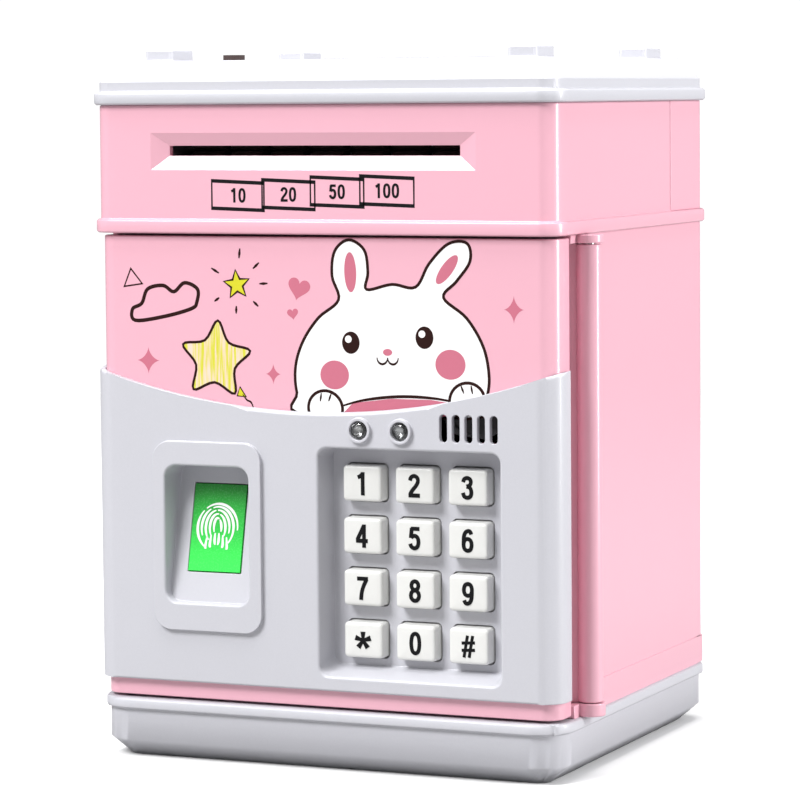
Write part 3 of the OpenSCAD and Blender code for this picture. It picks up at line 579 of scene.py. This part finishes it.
# %% Loft between rings
def round_rectangle(half_w, half_h, radius, steps=5):
    """Points of a rounded rectangle, anticlockwise seen from the front."""
    points = []
    for corner, (sx, sz) in enumerate(((1, 1), (-1, 1), (-1, -1), (1, -1))):
        for i in range(steps + 1):
            a = math.pi / 2 * (corner + i / steps)
            x = sx * (half_w - radius) + radius * math.cos(a)
            points.append((x, sz * (half_h - radius) + radius * math.sin(a)))
    return points


def loft(rings):
    """A closed surface through rings of points that all have the same count."""
    work = bmesh.new()
    rows = [[work.verts.new(p) for p in ring] for ring in rings]
    for low, high in zip(rows, rows[1:]):
        for i in range(len(low)):
            j = (i + 1) % len(low)
            work.faces.new((low[i], low[j], high[j], high[i]))
    work.faces.new(rows[0][::-1])
    work.faces.new(rows[-1])
    bmesh.ops.recalc_face_normals(work, faces=work.faces)
    return work


def mesh_from(work, name, material):
    """Turns a finished bmesh into a mesh with one material."""
    mesh = bpy.data.meshes.new(name)
    work.to_mesh(mesh)
    work.free()
    mesh.materials.append(material)
    return mesh


# %% [markdown]
# The frame gives each key's place and face, and the profile below gives it its section. The first
# three pairs are the flange that holds the key in under the panel.

# %% Key bodies
KEY_HALF_W = 5.6
KEY_HALF_H = 4.8
KEY_CORNER = 1.2
KEY_PROFILE = (
    (-0.8, 6.1), (-0.8, 5.3), (0.0, 5.3), (0.1, 1.2), (0.16, 0.7), (0.34, 0.36),
    (0.62, 0.18), (1.1, 0.1), (2.4, 0.03), (3.9, 0.0),
)


def key_body(node):
    """One key: the profile is pairs of inset and depth behind the face, in millimetres."""
    low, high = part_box(node)
    middle = (low + high) / 2
    rings = []
    for inset, depth in KEY_PROFILE:
        corner = max(KEY_CORNER - inset, 0.3)
        outline = round_rectangle(KEY_HALF_W - inset, KEY_HALF_H - inset, corner)
        y = low.y + depth * MM
        rings.append([(middle.x + x * MM, y, middle.z + z * MM) for x, z in outline])
    mesh = mesh_from(loft(rings), node + "_cap", finish["key_plastic"])
    piece = link_piece(node + "_cap", mesh, node)
    smooth_all(piece)
    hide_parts(node)
    return Vector((middle.x, low.y, middle.z))


key_faces = {n: key_body(n) for n in body_of if n.startswith("key_")}
print("keys:", len(key_faces))

# %% [markdown]
# ## A way to print
# Each printed shape is a slab of ink a few hundredths of a millimetre thick, sunk a little into
# the skin below it. A patch is a filled outline and a brush stroke is a ribbon along a line. Later
# layers are a step higher, so that white covers brown, and so on, as on a pad printer.

# %% Printing helpers
INK_STEP = 0.02
INK_SINK = 0.02


def slab(work, front, back, slot, closed=True):
    """Joins two matching rows of points into the sides of a slab."""
    count = len(front)
    for i in range(count if closed else count - 1):
        j = (i + 1) % count
        work.faces.new((front[i], front[j], back[j], back[i])).material_index = slot


def row_at(work, points, y):
    """Vertices for a list of x and z points in millimetres, at one depth."""
    return [work.verts.new((x * MM, y, z * MM)) for x, z in points]


def patch(work, loop, skin_y, layer, slot):
    """A filled inked outline."""
    front = row_at(work, loop, skin_y - (layer + 1) * INK_STEP * MM)
    back = row_at(work, loop, skin_y + INK_SINK * MM)
    work.faces.new(front).material_index = slot
    work.faces.new(back[::-1]).material_index = slot
    slab(work, front, back, slot)


def offset_lines(points, width, closed, tapered):
    """The two sides of a ribbon along a line. A tapered one narrows near its free ends."""
    count = len(points)
    left, right = [], []
    for i, (x, z) in enumerate(points):
        before = points[i - 1] if closed or i else points[0]
        after = points[(i + 1) % count] if closed or i < count - 1 else points[-1]
        dx, dz = after[0] - before[0], after[1] - before[1]
        size = math.hypot(dx, dz) or 1.0
        near_end = min(1.0, 0.45 + 1.6 * min(i, count - 1 - i) / count)
        end = near_end if tapered and not closed else 1.0
        half = width / 2 * end / size
        left.append((x - dz * half, z + dx * half))
        right.append((x + dz * half, z - dx * half))
    return left, right


def brush(work, points, width, skin_y, layer, slot, closed=False, tapered=True):
    """A brush stroke of ink along a line."""
    top = skin_y - (layer + 1) * INK_STEP * MM
    base = skin_y + INK_SINK * MM
    sides = offset_lines(points, width, closed, tapered)
    front_l, front_r = (row_at(work, side, top) for side in sides)
    back_l, back_r = (row_at(work, side, base) for side in sides)
    slab(work, front_l, front_r, slot, closed)
    slab(work, back_r, back_l, slot, closed)
    slab(work, front_r, back_r, slot, closed)
    slab(work, back_l, front_l, slot, closed)
    if not closed:
        for end in (0, -1):
            ring = (front_l[end], front_r[end], back_r[end], back_l[end])
            work.faces.new(ring).material_index = slot


def finish_print(name, work, palette, body):
    """Closes a print as one piece with its inks."""
    bmesh.ops.recalc_face_normals(work, faces=work.faces)
    mesh = bpy.data.meshes.new(name)
    work.to_mesh(mesh)
    work.free()
    for tint in palette:
        mesh.materials.append(inks[tint])
    piece = link_piece(name, mesh, body=body)
    print(name, len(mesh.polygons), "faces")
    return piece


# %% [markdown]
# ## Outlines for the pictures
# The pictures are drawn from a few outlines: ellipses, stars, hearts and four-pointed sparkles by
# formula, and a smooth curve through a handful of points for anything drawn by hand.


# %% Outlines
def tilted(cx, cz, x, z, tilt):
    """A point turned by an angle in degrees about the origin, then moved to a centre."""
    t = math.radians(tilt)
    return cx + x * math.cos(t) - z * math.sin(t), cz + x * math.sin(t) + z * math.cos(t)


def ellipse(cx, cz, rx, rz, tilt=0.0, start=0.0, end=360.0, steps=36):
    """An ellipse, or the arc of one between two angles in degrees."""
    whole = abs(end - start) >= 360
    points = []
    for i in range(steps if whole else steps + 1):
        a = math.radians(start + (end - start) * i / steps)
        points.append(tilted(cx, cz, rx * math.cos(a), rz * math.sin(a), tilt))
    return points


def star(cx, cz, outer, inner, tilt, arms=5):
    """A star's outline, one point up when the tilt is zero."""
    points = []
    for i in range(2 * arms):
        r = inner if i % 2 else outer
        a = math.radians(90 + tilt + 180 * i / arms)
        points.append((cx + r * math.cos(a), cz + r * math.sin(a)))
    return points


def heart(cx, cz, width, tilt=0.0, steps=40):
    """The usual heart curve, scaled to a width."""
    points = []
    for i in range(steps):
        t = math.tau * i / steps
        x = math.sin(t) ** 3 * width / 2
        z = (13 * math.cos(t) - 5 * math.cos(2 * t) - 2 * math.cos(3 * t) - math.cos(4 * t)) / 32
        points.append(tilted(cx, cz, x, z * width, tilt))
    return points[::-1]


HOLLOW = 3.2


def sparkle(cx, cz, half_w, half_h, steps=8):
    """A four-pointed sparkle with hollow sides."""
    points = []
    for i in range(4 * steps):
        a = math.tau * i / (4 * steps)
        c, s = math.cos(a), math.sin(a)
        x = math.copysign(abs(c) ** HOLLOW, c)
        z = math.copysign(abs(s) ** HOLLOW, s)
        points.append((cx + half_w * x, cz + half_h * z))
    return points


def smooth_line(points, closed=False, steps=6):
    """A smooth curve through points (Catmull-Rom)."""
    count = len(points)
    made = []
    for i in range(count if closed else count - 1):
        near = [i - 1, i, i + 1, i + 2]
        if closed:
            p = [points[k % count] for k in near]
        else:
            p = [points[max(0, min(count - 1, k))] for k in near]
        for k in range(steps):
            t = k / steps
            weights = (
                (-t + 2 * t * t - t**3) / 2,
                (2 - 5 * t * t + 3 * t**3) / 2,
                (t + 4 * t * t - 3 * t**3) / 2,
                (-t * t + t**3) / 2,
            )
            made.append(tuple(sum(w * q[n] for w, q in zip(weights, p)) for n in (0, 1)))
    if not closed:
        made.append(points[-1])
    return made


# %% [markdown]
# ## Numerals
# The figures are narrow and bold. Each is a few strokes of one width along curves through a
# handful of points, drawn in a box about 3.4 wide and 6.1 high and scaled from there. A nine is a
# six turned round.

# %% Numeral strokes
STROKE = 1.06
DRAWN_HEIGHT = 6.1
FIGURE_PITCH = 3.9
SIX_LOOP = [
    (0, 0.5), (0.82, 0.1), (1.12, -1.0), (0.82, -2.15), (0, -2.55), (-0.82, -2.15), (-1.12, -1.0),
    (-0.82, 0.1),
]
SIX_BACK = [(1.05, 1.7), (0.72, 2.38), (0.1, 2.55), (-0.62, 2.1), (-1.02, 1.0), (-1.12, -1.0)]
FIGURES = {
    "0": [
        (True, [(0, 2.55), (0.85, 1.95), (1.15, 0), (0.85, -1.95), (0, -2.55), (-0.85, -1.95),
                (-1.15, 0), (-0.85, 1.95)]),
    ],
    "1": [
        (False, [(0.3, 3.05), (0.3, 0), (0.3, -3.05)]),
        (False, [(0.25, 2.6), (-0.35, 2.0), (-1.1, 1.65)]),
    ],
    "2": [
        (False, [(-1.15, 1.3), (-0.85, 2.15), (0, 2.55), (0.88, 2.1), (1.08, 1.15), (0.55, 0.05),
                 (-0.5, -1.2), (-1.1, -2.2)]),
        (False, [(-1.6, -2.53), (0, -2.53), (1.6, -2.53)]),
    ],
    "3": [
        (False, [(-1.15, 1.45), (-0.8, 2.25), (0, 2.55), (0.8, 2.2), (1.0, 1.45), (0.7, 0.7),
                 (-0.2, 0.35)]),
        (False, [(-0.2, 0.35), (0.75, 0.05), (1.15, -1.1), (0.85, -2.15), (0, -2.55),
                 (-0.85, -2.2), (-1.2, -1.3)]),
    ],
    "4": [
        (False, [(0.55, 3.05), (0.55, 0), (0.55, -3.05)]),
        (False, [(0.5, 2.7), (-0.4, 0.9), (-1.35, -0.95)]),
        (False, [(-1.75, -1.25), (0, -1.25), (1.6, -1.25)]),
    ],
    "5": [
        (False, [(-1.0, 2.52), (0, 2.52), (1.4, 2.52)]),
        (False, [(-0.75, 2.7), (-0.9, 1.4), (-1.05, 0.1)]),
        (False, [(-0.95, 0.25), (-0.1, 0.7), (0.8, 0.3), (1.12, -0.9), (0.8, -2.1), (0, -2.55),
                 (-0.85, -2.2), (-1.2, -1.4)]),
    ],
    "6": [(True, SIX_LOOP), (False, SIX_BACK)],
    "7": [
        (False, [(-1.55, 2.52), (0, 2.52), (1.55, 2.52)]),
        (False, [(1.2, 2.45), (0.3, 0.6), (-0.25, -1.2), (-0.45, -3.05)]),
    ],
    "8": [
        (True, ellipse(0, 1.42, 0.98, 1.12, steps=10)),
        (True, ellipse(0, -1.2, 1.15, 1.35, steps=10)),
    ],
    "9": [(True, [(-x, -z) for x, z in SIX_LOOP]), (False, [(-x, -z) for x, z in SIX_BACK])],
}


def numerals(work, text, height, centre, skin_y, layer, slot):
    """Adds upright figures of a height in millimetres, centred on an x and z in millimetres."""
    scale = height / DRAWN_HEIGHT
    for place, figure in enumerate(text):
        cx = centre[0] + (place - (len(text) - 1) / 2) * FIGURE_PITCH * scale
        for rank, (closed, points) in enumerate(FIGURES[figure]):
            line = smooth_line([(cx + x * scale, centre[1] + z * scale) for x, z in points], closed)
            brush(work, line, STROKE * scale, skin_y, layer + rank, slot, closed, False)


print("figures:", "".join(FIGURES))

# %% [markdown]
# The key legends are plain numerals, with a star and a hash drawn from bars. They stand a few
# hundredths of a millimetre proud of the crowned face.

# %% Key legends
LEGEND_HEIGHT = 6.1
LEGEND_SINK = 0.03
LEGEND_LAYER = 3
STAR_ARM = 2.3
HASH_LINE = 0.82


def bar_line(cx, cz, angle, reach, steps=2):
    """A straight line through a centre at an angle in degrees."""
    a = math.radians(angle)
    ends = [reach * (2 * i / steps - 1) for i in range(steps + 1)]
    return [(cx + t * math.cos(a), cz + t * math.sin(a)) for t in ends]


def flared_arm(cx, cz, angle):
    """One arm of the star key's mark, wider at its end."""
    a = math.radians(angle)
    ux, uz = math.cos(a), math.sin(a)
    shape = ((0, -0.35), (STAR_ARM, -0.72), (STAR_ARM, 0.72), (0, 0.35))
    return [(cx + r * ux - side * uz, cz + r * uz + side * ux) for r, side in shape]


for node, face in key_faces.items():
    work = bmesh.new()
    label = node.removeprefix("key_")
    cx, cz = face.x / MM, face.z / MM
    skin_y = face.y + LEGEND_SINK * MM
    if label == "star":
        for arm in range(5):
            patch(work, flared_arm(cx, cz, 90 + 72 * arm), skin_y, LEGEND_LAYER + arm, 0)
    elif label == "hash":
        for side in (-1, 1):
            upright = bar_line(cx + side * 0.72, cz, 80, 2.9)
            brush(work, upright, HASH_LINE, skin_y, LEGEND_LAYER, 0, False, False)
            level = bar_line(cx, cz + side * 0.95, 3, 1.85)
            brush(work, level, HASH_LINE, skin_y, LEGEND_LAYER + 1, 0, False, False)
    else:
        numerals(work, label, LEGEND_HEIGHT, (cx, cz), skin_y, LEGEND_LAYER, 0)
    finish_print("legend_" + label, work, ["black"], node)
print("legends:", len(key_faces))

# %% [markdown]
# ## The bunny
# A plain round-cheeked bunny looks over the panel's edge. It is drawn simply: one smooth outline
# for head and ears, filled white and edged in brown, with oval eyes, a small nose and two round
# paws resting on the panel.

# %% Bunny head
door_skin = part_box("door_shell")[0].y
PALETTE = ["brown", "white", "rose", "yellow", "hatched", "black"]
BROWN, WHITE, ROSE, YELLOW, HATCHED = range(5)
LINE = 0.8
FINE_LINE = 0.6

work = bmesh.new()
head = [
    (-4.2, 93.8), (-7.0, 99.5), (-7.3, 106.5), (-5.0, 113.2), (-0.6, 119.2), (5.2, 124.0),
    (3.4, 130.2), (4.2, 136.6), (8.2, 139.6), (12.6, 137.0), (13.6, 131.2), (13.2, 126.8),
    (20.4, 128.2), (27.0, 127.6), (30.8, 133.6), (36.2, 138.8), (41.4, 139.0), (42.2, 134.4),
    (38.4, 129.2), (34.8, 125.0), (41.2, 119.8), (45.8, 112.4), (47.3, 104.6), (46.4, 98.6),
    (44.8, 94.6),
]
outline = smooth_line(head, True)
patch(work, outline[::-1], door_skin, 0, WHITE)
brush(work, outline, LINE, door_skin, 1, BROWN, True)
print("head:", len(outline), "points")

# %% [markdown]
# Rose goes inside the ears, on the cheeks and on the nose. The eyes are brown with one white
# glint each, and two small arcs make the mouth.

# %% Bunny face
patch(work, ellipse(8.6, 131.2, 1.7, 5.2, 2), door_skin, 1, ROSE)
patch(work, ellipse(35.8, 132.2, 1.6, 4.6, -38), door_skin, 1, ROSE)
for x, z in ((8.6, 112.9), (29.4, 114.6)):
    patch(work, ellipse(x, z, 2.5, 2.9), door_skin, 1, BROWN)
    patch(work, ellipse(x - 0.7, z + 0.9, 0.95, 0.95), door_skin, 2, WHITE)
for x, z, r in ((3.9, 104.4, 4.1), (36.6, 107.8, 4.2)):
    patch(work, ellipse(x, z, r, r * 0.92), door_skin, 1, ROSE)
patch(work, ellipse(19.0, 110.6, 1.3, 0.9), door_skin, 1, ROSE)
for side in (-1, 1):
    smile = ellipse(19.0 + side * 1.5, 109.2, 1.5, 1.7, 0, 180, 360, 10)
    brush(work, smile, FINE_LINE, door_skin, 1, BROWN)
print("face:", len(work.faces), "faces so far")

# %% [markdown]
# A rose bib shows between the paws, and the paws come last, on top of everything else.

# %% Bunny paws
bib = [(5.6, 93.8), (40.0, 93.8), (39.0, 97.6), (31.0, 98.6), (20.0, 98.6), (9.0, 97.2)]
patch(work, bib, door_skin, 1, ROSE)
neck = smooth_line([(4.8, 96.0), (12.0, 98.0), (22.0, 99.2), (32.0, 99.0), (40.0, 97.8)])
brush(work, neck, LINE, door_skin, 2, BROWN)
for cx, cz, tilt in ((1.2, 95.6, -14), (41.2, 98.6, 16)):
    paw = ellipse(cx, cz, 4.9, 4.6, tilt)
    patch(work, paw, door_skin, 3, WHITE)
    brush(work, paw, LINE, door_skin, 4, BROWN, True)
    for side in (-1, 1):
        toe = bar_line(cx + side * 1.3, cz + 2.9, 90 + tilt - side * 6, 1.1)
        brush(work, toe, FINE_LINE, door_skin, 4, BROWN)
finish_print("bunny_print", work, PALETTE, "door")

# %% [markdown]
# ## Stars, hearts and a cloud
# Round the bunny there are a filled star with rays, a bigger star balloon coloured in by hand, two
# hearts, three sparkles, and a small cloud with a triangle beside it.

# %% Star with rays
SPARK_X = -24.2
SPARK_Z = 127.5

work = bmesh.new()
spark = star(SPARK_X, SPARK_Z, 3.9, 1.75, 6)
patch(work, spark, door_skin, 0, YELLOW)
brush(work, spark, 0.62, door_skin, 1, BROWN, True)
for angle, near, far in (
    (84, 7.0, 9.6), (42, 6.4, 8.8), (3, 6.6, 9.0), (-42, 6.4, 8.4), (-92, 5.6, 7.6),
    (-146, 6.2, 8.0), (150, 6.0, 8.6),
):
    a = math.radians(angle)
    along = (near, (near + far) / 2, far)
    ray = [(SPARK_X + r * math.cos(a), SPARK_Z + r * math.sin(a)) for r in along]
    brush(work, ray, 0.75, door_skin, 0, BROWN)
print("star with rays:", len(work.faces), "faces")

# %% [markdown]
# The star balloon has soft points, a small knot under its lower right point, and a short string
# that runs down behind the panel.

# %% Star balloon
balloon = smooth_line(star(-30.6, 107.6, 10.4, 6.0, -4), True, 5)
patch(work, balloon, door_skin, 0, HATCHED)
brush(work, balloon, 0.7, door_skin, 1, BROWN, True)
knot = [(-24.4, 98.2), (-21.8, 98.0), (-23.6, 100.6)]
patch(work, knot, door_skin, 0, YELLOW)
brush(work, knot, 0.5, door_skin, 1, BROWN, True)
string = smooth_line([(-22.8, 98.6), (-21.6, 97.2), (-20.4, 96.6), (-19.6, 95.0)])
brush(work, string, 0.5, door_skin, 0, BROWN)
print("with the balloon:", len(work.faces), "faces")

# %% [markdown]
# The cloud and the triangle are outlines only. The hearts and sparkles are flat rose.

# %% Cloud, hearts and sparkles
cloud = smooth_line(
    [
        (-54.4, 117.6), (-55.2, 120.6), (-52.4, 122.2), (-50.6, 126.0), (-46.0, 127.0),
        (-42.8, 125.4), (-39.6, 127.8), (-35.8, 126.2), (-36.0, 122.8), (-37.6, 121.0),
        (-45.6, 118.8),
    ],
    True,
)
brush(work, cloud, 1.0, door_skin, 0, BROWN, True)
brush(work, [(-57.6, 126.6), (-52.2, 127.4), (-55.6, 131.4)], 0.8, door_skin, 0, BROWN, True)

patch(work, heart(-6.2, 126.9, 6.4, -14), door_skin, 0, ROSE)
patch(work, heart(-8.0, 120.2, 3.2, 8), door_skin, 0, ROSE)
sparkles = ((-50.6, 107.0, 3.4, 3.6), (-13.8, 104.2, 2.2, 2.7), (54.2, 122.2, 2.8, 3.6))
for cx, cz, half_w, half_h in sparkles:
    patch(work, sparkle(cx, cz, half_w, half_h), door_skin, 0, ROSE)
finish_print("doodle_print", work, PALETTE, "door")

# %% [markdown]
# ## Note values
# Under the slot four small frames show which notes the bank takes. They overlap a little and each
# is set slightly askew, as on the real print. Plain round numbers stand in them.

# %% Note value print
case_front = -58.0 * MM
NOTE_LINE = 1.05
NOTE_FIGURE = 3.8

work = bmesh.new()
frames = ((-23.3, 151.0, "10"), (-8.65, 151.3, "20"), (5.3, 152.05, "50"), (19.4, 152.35, "100"))
for cx, cz, value in frames:
    corners = [(-7.6, -3.4), (7.6, -3.9), (7.6, 3.2), (-7.6, 3.8)]
    box = [(cx + x, cz + z) for x, z in corners]
    brush(work, box, NOTE_LINE, case_front, 0, 0, True)
    numerals(work, value, NOTE_FIGURE, (cx, cz), case_front, 1, 0)
finish_print("note_value_print", work, ["black"], "case")

# %% [markdown]
# ## The finger pad's print
# The green pad lies on a slope that runs deeper towards its top, so its print is drawn flat first
# and then tipped to match. The picture is a generic fingertip: nested arches with a few breaks, all
# from one formula.

# %% Finger print
PAD_TILT = math.radians(12.6)
PAD_FACE = -53.85 * MM
MARK_Z = 62.49 * MM
MARK_LAYER = 2

work = bmesh.new()
arches = (
    (1.1, 2.6, 205, -25), (2.3, 3.7, 215, -40), (3.5, 4.7, 222, -20), (4.7, 5.6, 200, -52),
    (5.9, 6.4, 232, -8),
)
for rank, (rx, rz, start, end) in enumerate(arches):
    gap = 60 + 17 * rank
    for low, high in ((end, gap - 4), (gap + 4, start)):
        brush(work, ellipse(0, 0, rx, rz, 4, low, high, 24), 0.72, 0, MARK_LAYER, 0)
for rank, reach in enumerate((3.4, 4.6, 5.2)):
    for side in (-1, 1):
        top = (side * (0.55 + 1.15 * rank), -1.4 - 0.5 * rank)
        bend = (side * (0.6 + 1.3 * rank), -reach)
        tail = (side * (0.4 + 1.2 * rank), -reach - 1.2 + 0.5 * rank)
        brush(work, smooth_line([top, bend, tail]), 0.7, 0, MARK_LAYER, 0)
pad_middle = (pad_low + pad_high) / 2
middle = Matrix.Translation((pad_middle.x, PAD_FACE, MARK_Z))
tip = middle @ Matrix.Rotation(-PAD_TILT, 4, "X")
bmesh.ops.transform(work, matrix=tip, verts=work.verts)
finish_print("finger_print_mark", work, ["white"], "finger_pad")

# %% [markdown]
# ## Lamps
# Each lamp is a bright cup with a dark diode in it behind a low clear dome. The cup and the diode
# are turned shapes, so a short profile spun about the lamp's axis makes them.


# %% Lamps
def turned(profile, centre_x, centre_z, steps=40):
    """Spins pairs of radius and Y, in millimetres, about a line along Y."""
    rings = []
    for r, y in profile:
        ring = []
        for i in range(steps):
            a = math.tau * i / steps
            ring.append((centre_x + r * MM * math.cos(a), y * MM, centre_z + r * MM * math.sin(a)))
        rings.append(ring)
    return loft(rings)


lens_low, lens_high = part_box("led_lenses")
LENS_R = 2.45
lamp_z = (lens_low.z + lens_high.z) / 2
lamp_xs = (lens_low.x + LENS_R * MM, lens_high.x - LENS_R * MM)
CUP = ((2.42, -59.0), (2.3, -59.3), (2.1, -59.0), (1.6, -57.6), (1.2, -57.0), (0.05, -56.9))
CUP_BACK = ((0.05, -56.0), (2.42, -56.0))
DOME = (
    (0.05, -60.15), (0.8, -60.1), (1.5, -59.9), (2.0, -59.65), (2.3, -59.35), (2.3, -59.32),
    (0.05, -59.5),
)
DIODE = ((0.05, -58.7), (0.7, -58.55), (1.15, -58.1), (1.25, -57.4), (1.25, -56.8), (0.05, -56.8))
for side, x in zip(("left", "right"), lamp_xs):
    cup_mesh = mesh_from(turned(CUP + CUP_BACK, x, lamp_z), "lamp_cup_" + side, finish["steel"])
    cup = link_piece("lamp_cup_" + side, cup_mesh, body="door")
    diode_mesh = mesh_from(turned(DIODE, x, lamp_z), "lamp_diode_" + side, finish["dark_plastic"])
    diode = link_piece("lamp_diode_" + side, diode_mesh, body="door")
    dome_mesh = mesh_from(turned(DOME, x, lamp_z), "lamp_dome_" + side, finish["lamp_lens"])
    dome = link_piece("lamp_dome_" + side, dome_mesh, body="door")
    for piece, slot in ((cup, "steel"), (diode, "dark_plastic"), (dome, "lamp_lens")):
        piece.data.shade_smooth()
    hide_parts("led_lenses")
print("lamps at x", [round(x / MM, 1) for x in lamp_xs])

# %% [markdown]
# ## Studio
# A pale floor that fades out into a white surround, and three soft lamps. The key lamp stands to
# the upper left and shades the recesses, the overhead one whitens the cap and the floor, and the
# narrow one to the right draws a bright line along the rounded upright edges.

# %% Floor
HALF_FLOOR = 1.7
FADE_FROM = 0.5
FADE_TO = 1.5

floor_mesh = bpy.data.meshes.new("floor")
square = [(x * HALF_FLOOR, y * HALF_FLOOR, 0) for x, y in ((-1, -1), (1, -1), (1, 1), (-1, 1))]
floor_mesh.from_pydata(square, [], [(0, 1, 2, 3)])
floor, tree, surface = open_material("pale_floor")
place = put(tree, "ShaderNodeTexCoord").outputs["Object"]
reach = put(tree, "ShaderNodeVectorMath", {0: place}, operation="LENGTH").outputs["Value"]
tree.links.new(ramp_between(tree, reach, FADE_FROM, FADE_TO, 1.0, 0.0), surface.inputs["Alpha"])
seen = put(tree, "ShaderNodeLightPath").outputs["Is Camera Ray"]
paleness = mix_colour(tree, seen, (0.36, 0.36, 0.36, 1), (0.92, 0.92, 0.92, 1))
tree.links.new(paleness, surface.inputs["Base Color"])
surface.inputs["Roughness"].default_value = 0.8
floor_mesh.materials.append(floor)
floor_piece = bpy.data.objects.new("floor", floor_mesh)
scene.collection.objects.link(floor_piece)
print("floor:", 2 * HALF_FLOOR, "m across")

# %% [markdown]
# The surround, like the floor, looks white but lights the toy more weakly than it looks, so that
# the lamps can model the shapes. A light path node tells a look from a bounce.

# %% Surround and lamps
SURROUND_LIGHT = 0.27
SURROUND_LOOK = 1.05

world = bpy.data.worlds.new("surround")
world.use_nodes = True
sky = world.node_tree
surround = sky.nodes["Background"]
seen = put(sky, "ShaderNodeLightPath").outputs["Is Camera Ray"]
levels = {0: seen, 3: SURROUND_LIGHT, 4: SURROUND_LOOK}
strength = put(sky, "ShaderNodeMapRange", levels).outputs[0]
surround.inputs["Color"].default_value = (1, 1, 1, 1)
sky.links.new(strength, surround.inputs["Strength"])
scene.world = world
scene.view_settings.view_transform = "Standard"


def soft_lamp(name, place, aim, width, height, watts):
    """A rectangular soft lamp turned towards a point."""
    data = bpy.data.lights.new(name, "AREA")
    data.shape = "RECTANGLE"
    data.size = width
    data.size_y = height
    data.energy = watts
    lamp = bpy.data.objects.new(name, data)
    scene.collection.objects.link(lamp)
    lamp.location = place
    lamp.rotation_mode = "QUATERNION"
    lamp.rotation_quaternion = (Vector(aim) - Vector(place)).to_track_quat("-Z", "Y")
    return lamp


AIM = (0, 0, 0.09)
soft_lamp("key_softbox", (-0.62, -1.2, 1.4), AIM, 0.75, 0.75, 42)
soft_lamp("overhead_softbox", (0.0, -0.05, 1.5), AIM, 1.1, 1.1, 26)
soft_lamp("edge_strip", (1.5, 0.3, 0.4), AIM, 0.14, 1.3, 29)
print("studio: floor, surround and 3 lamps")
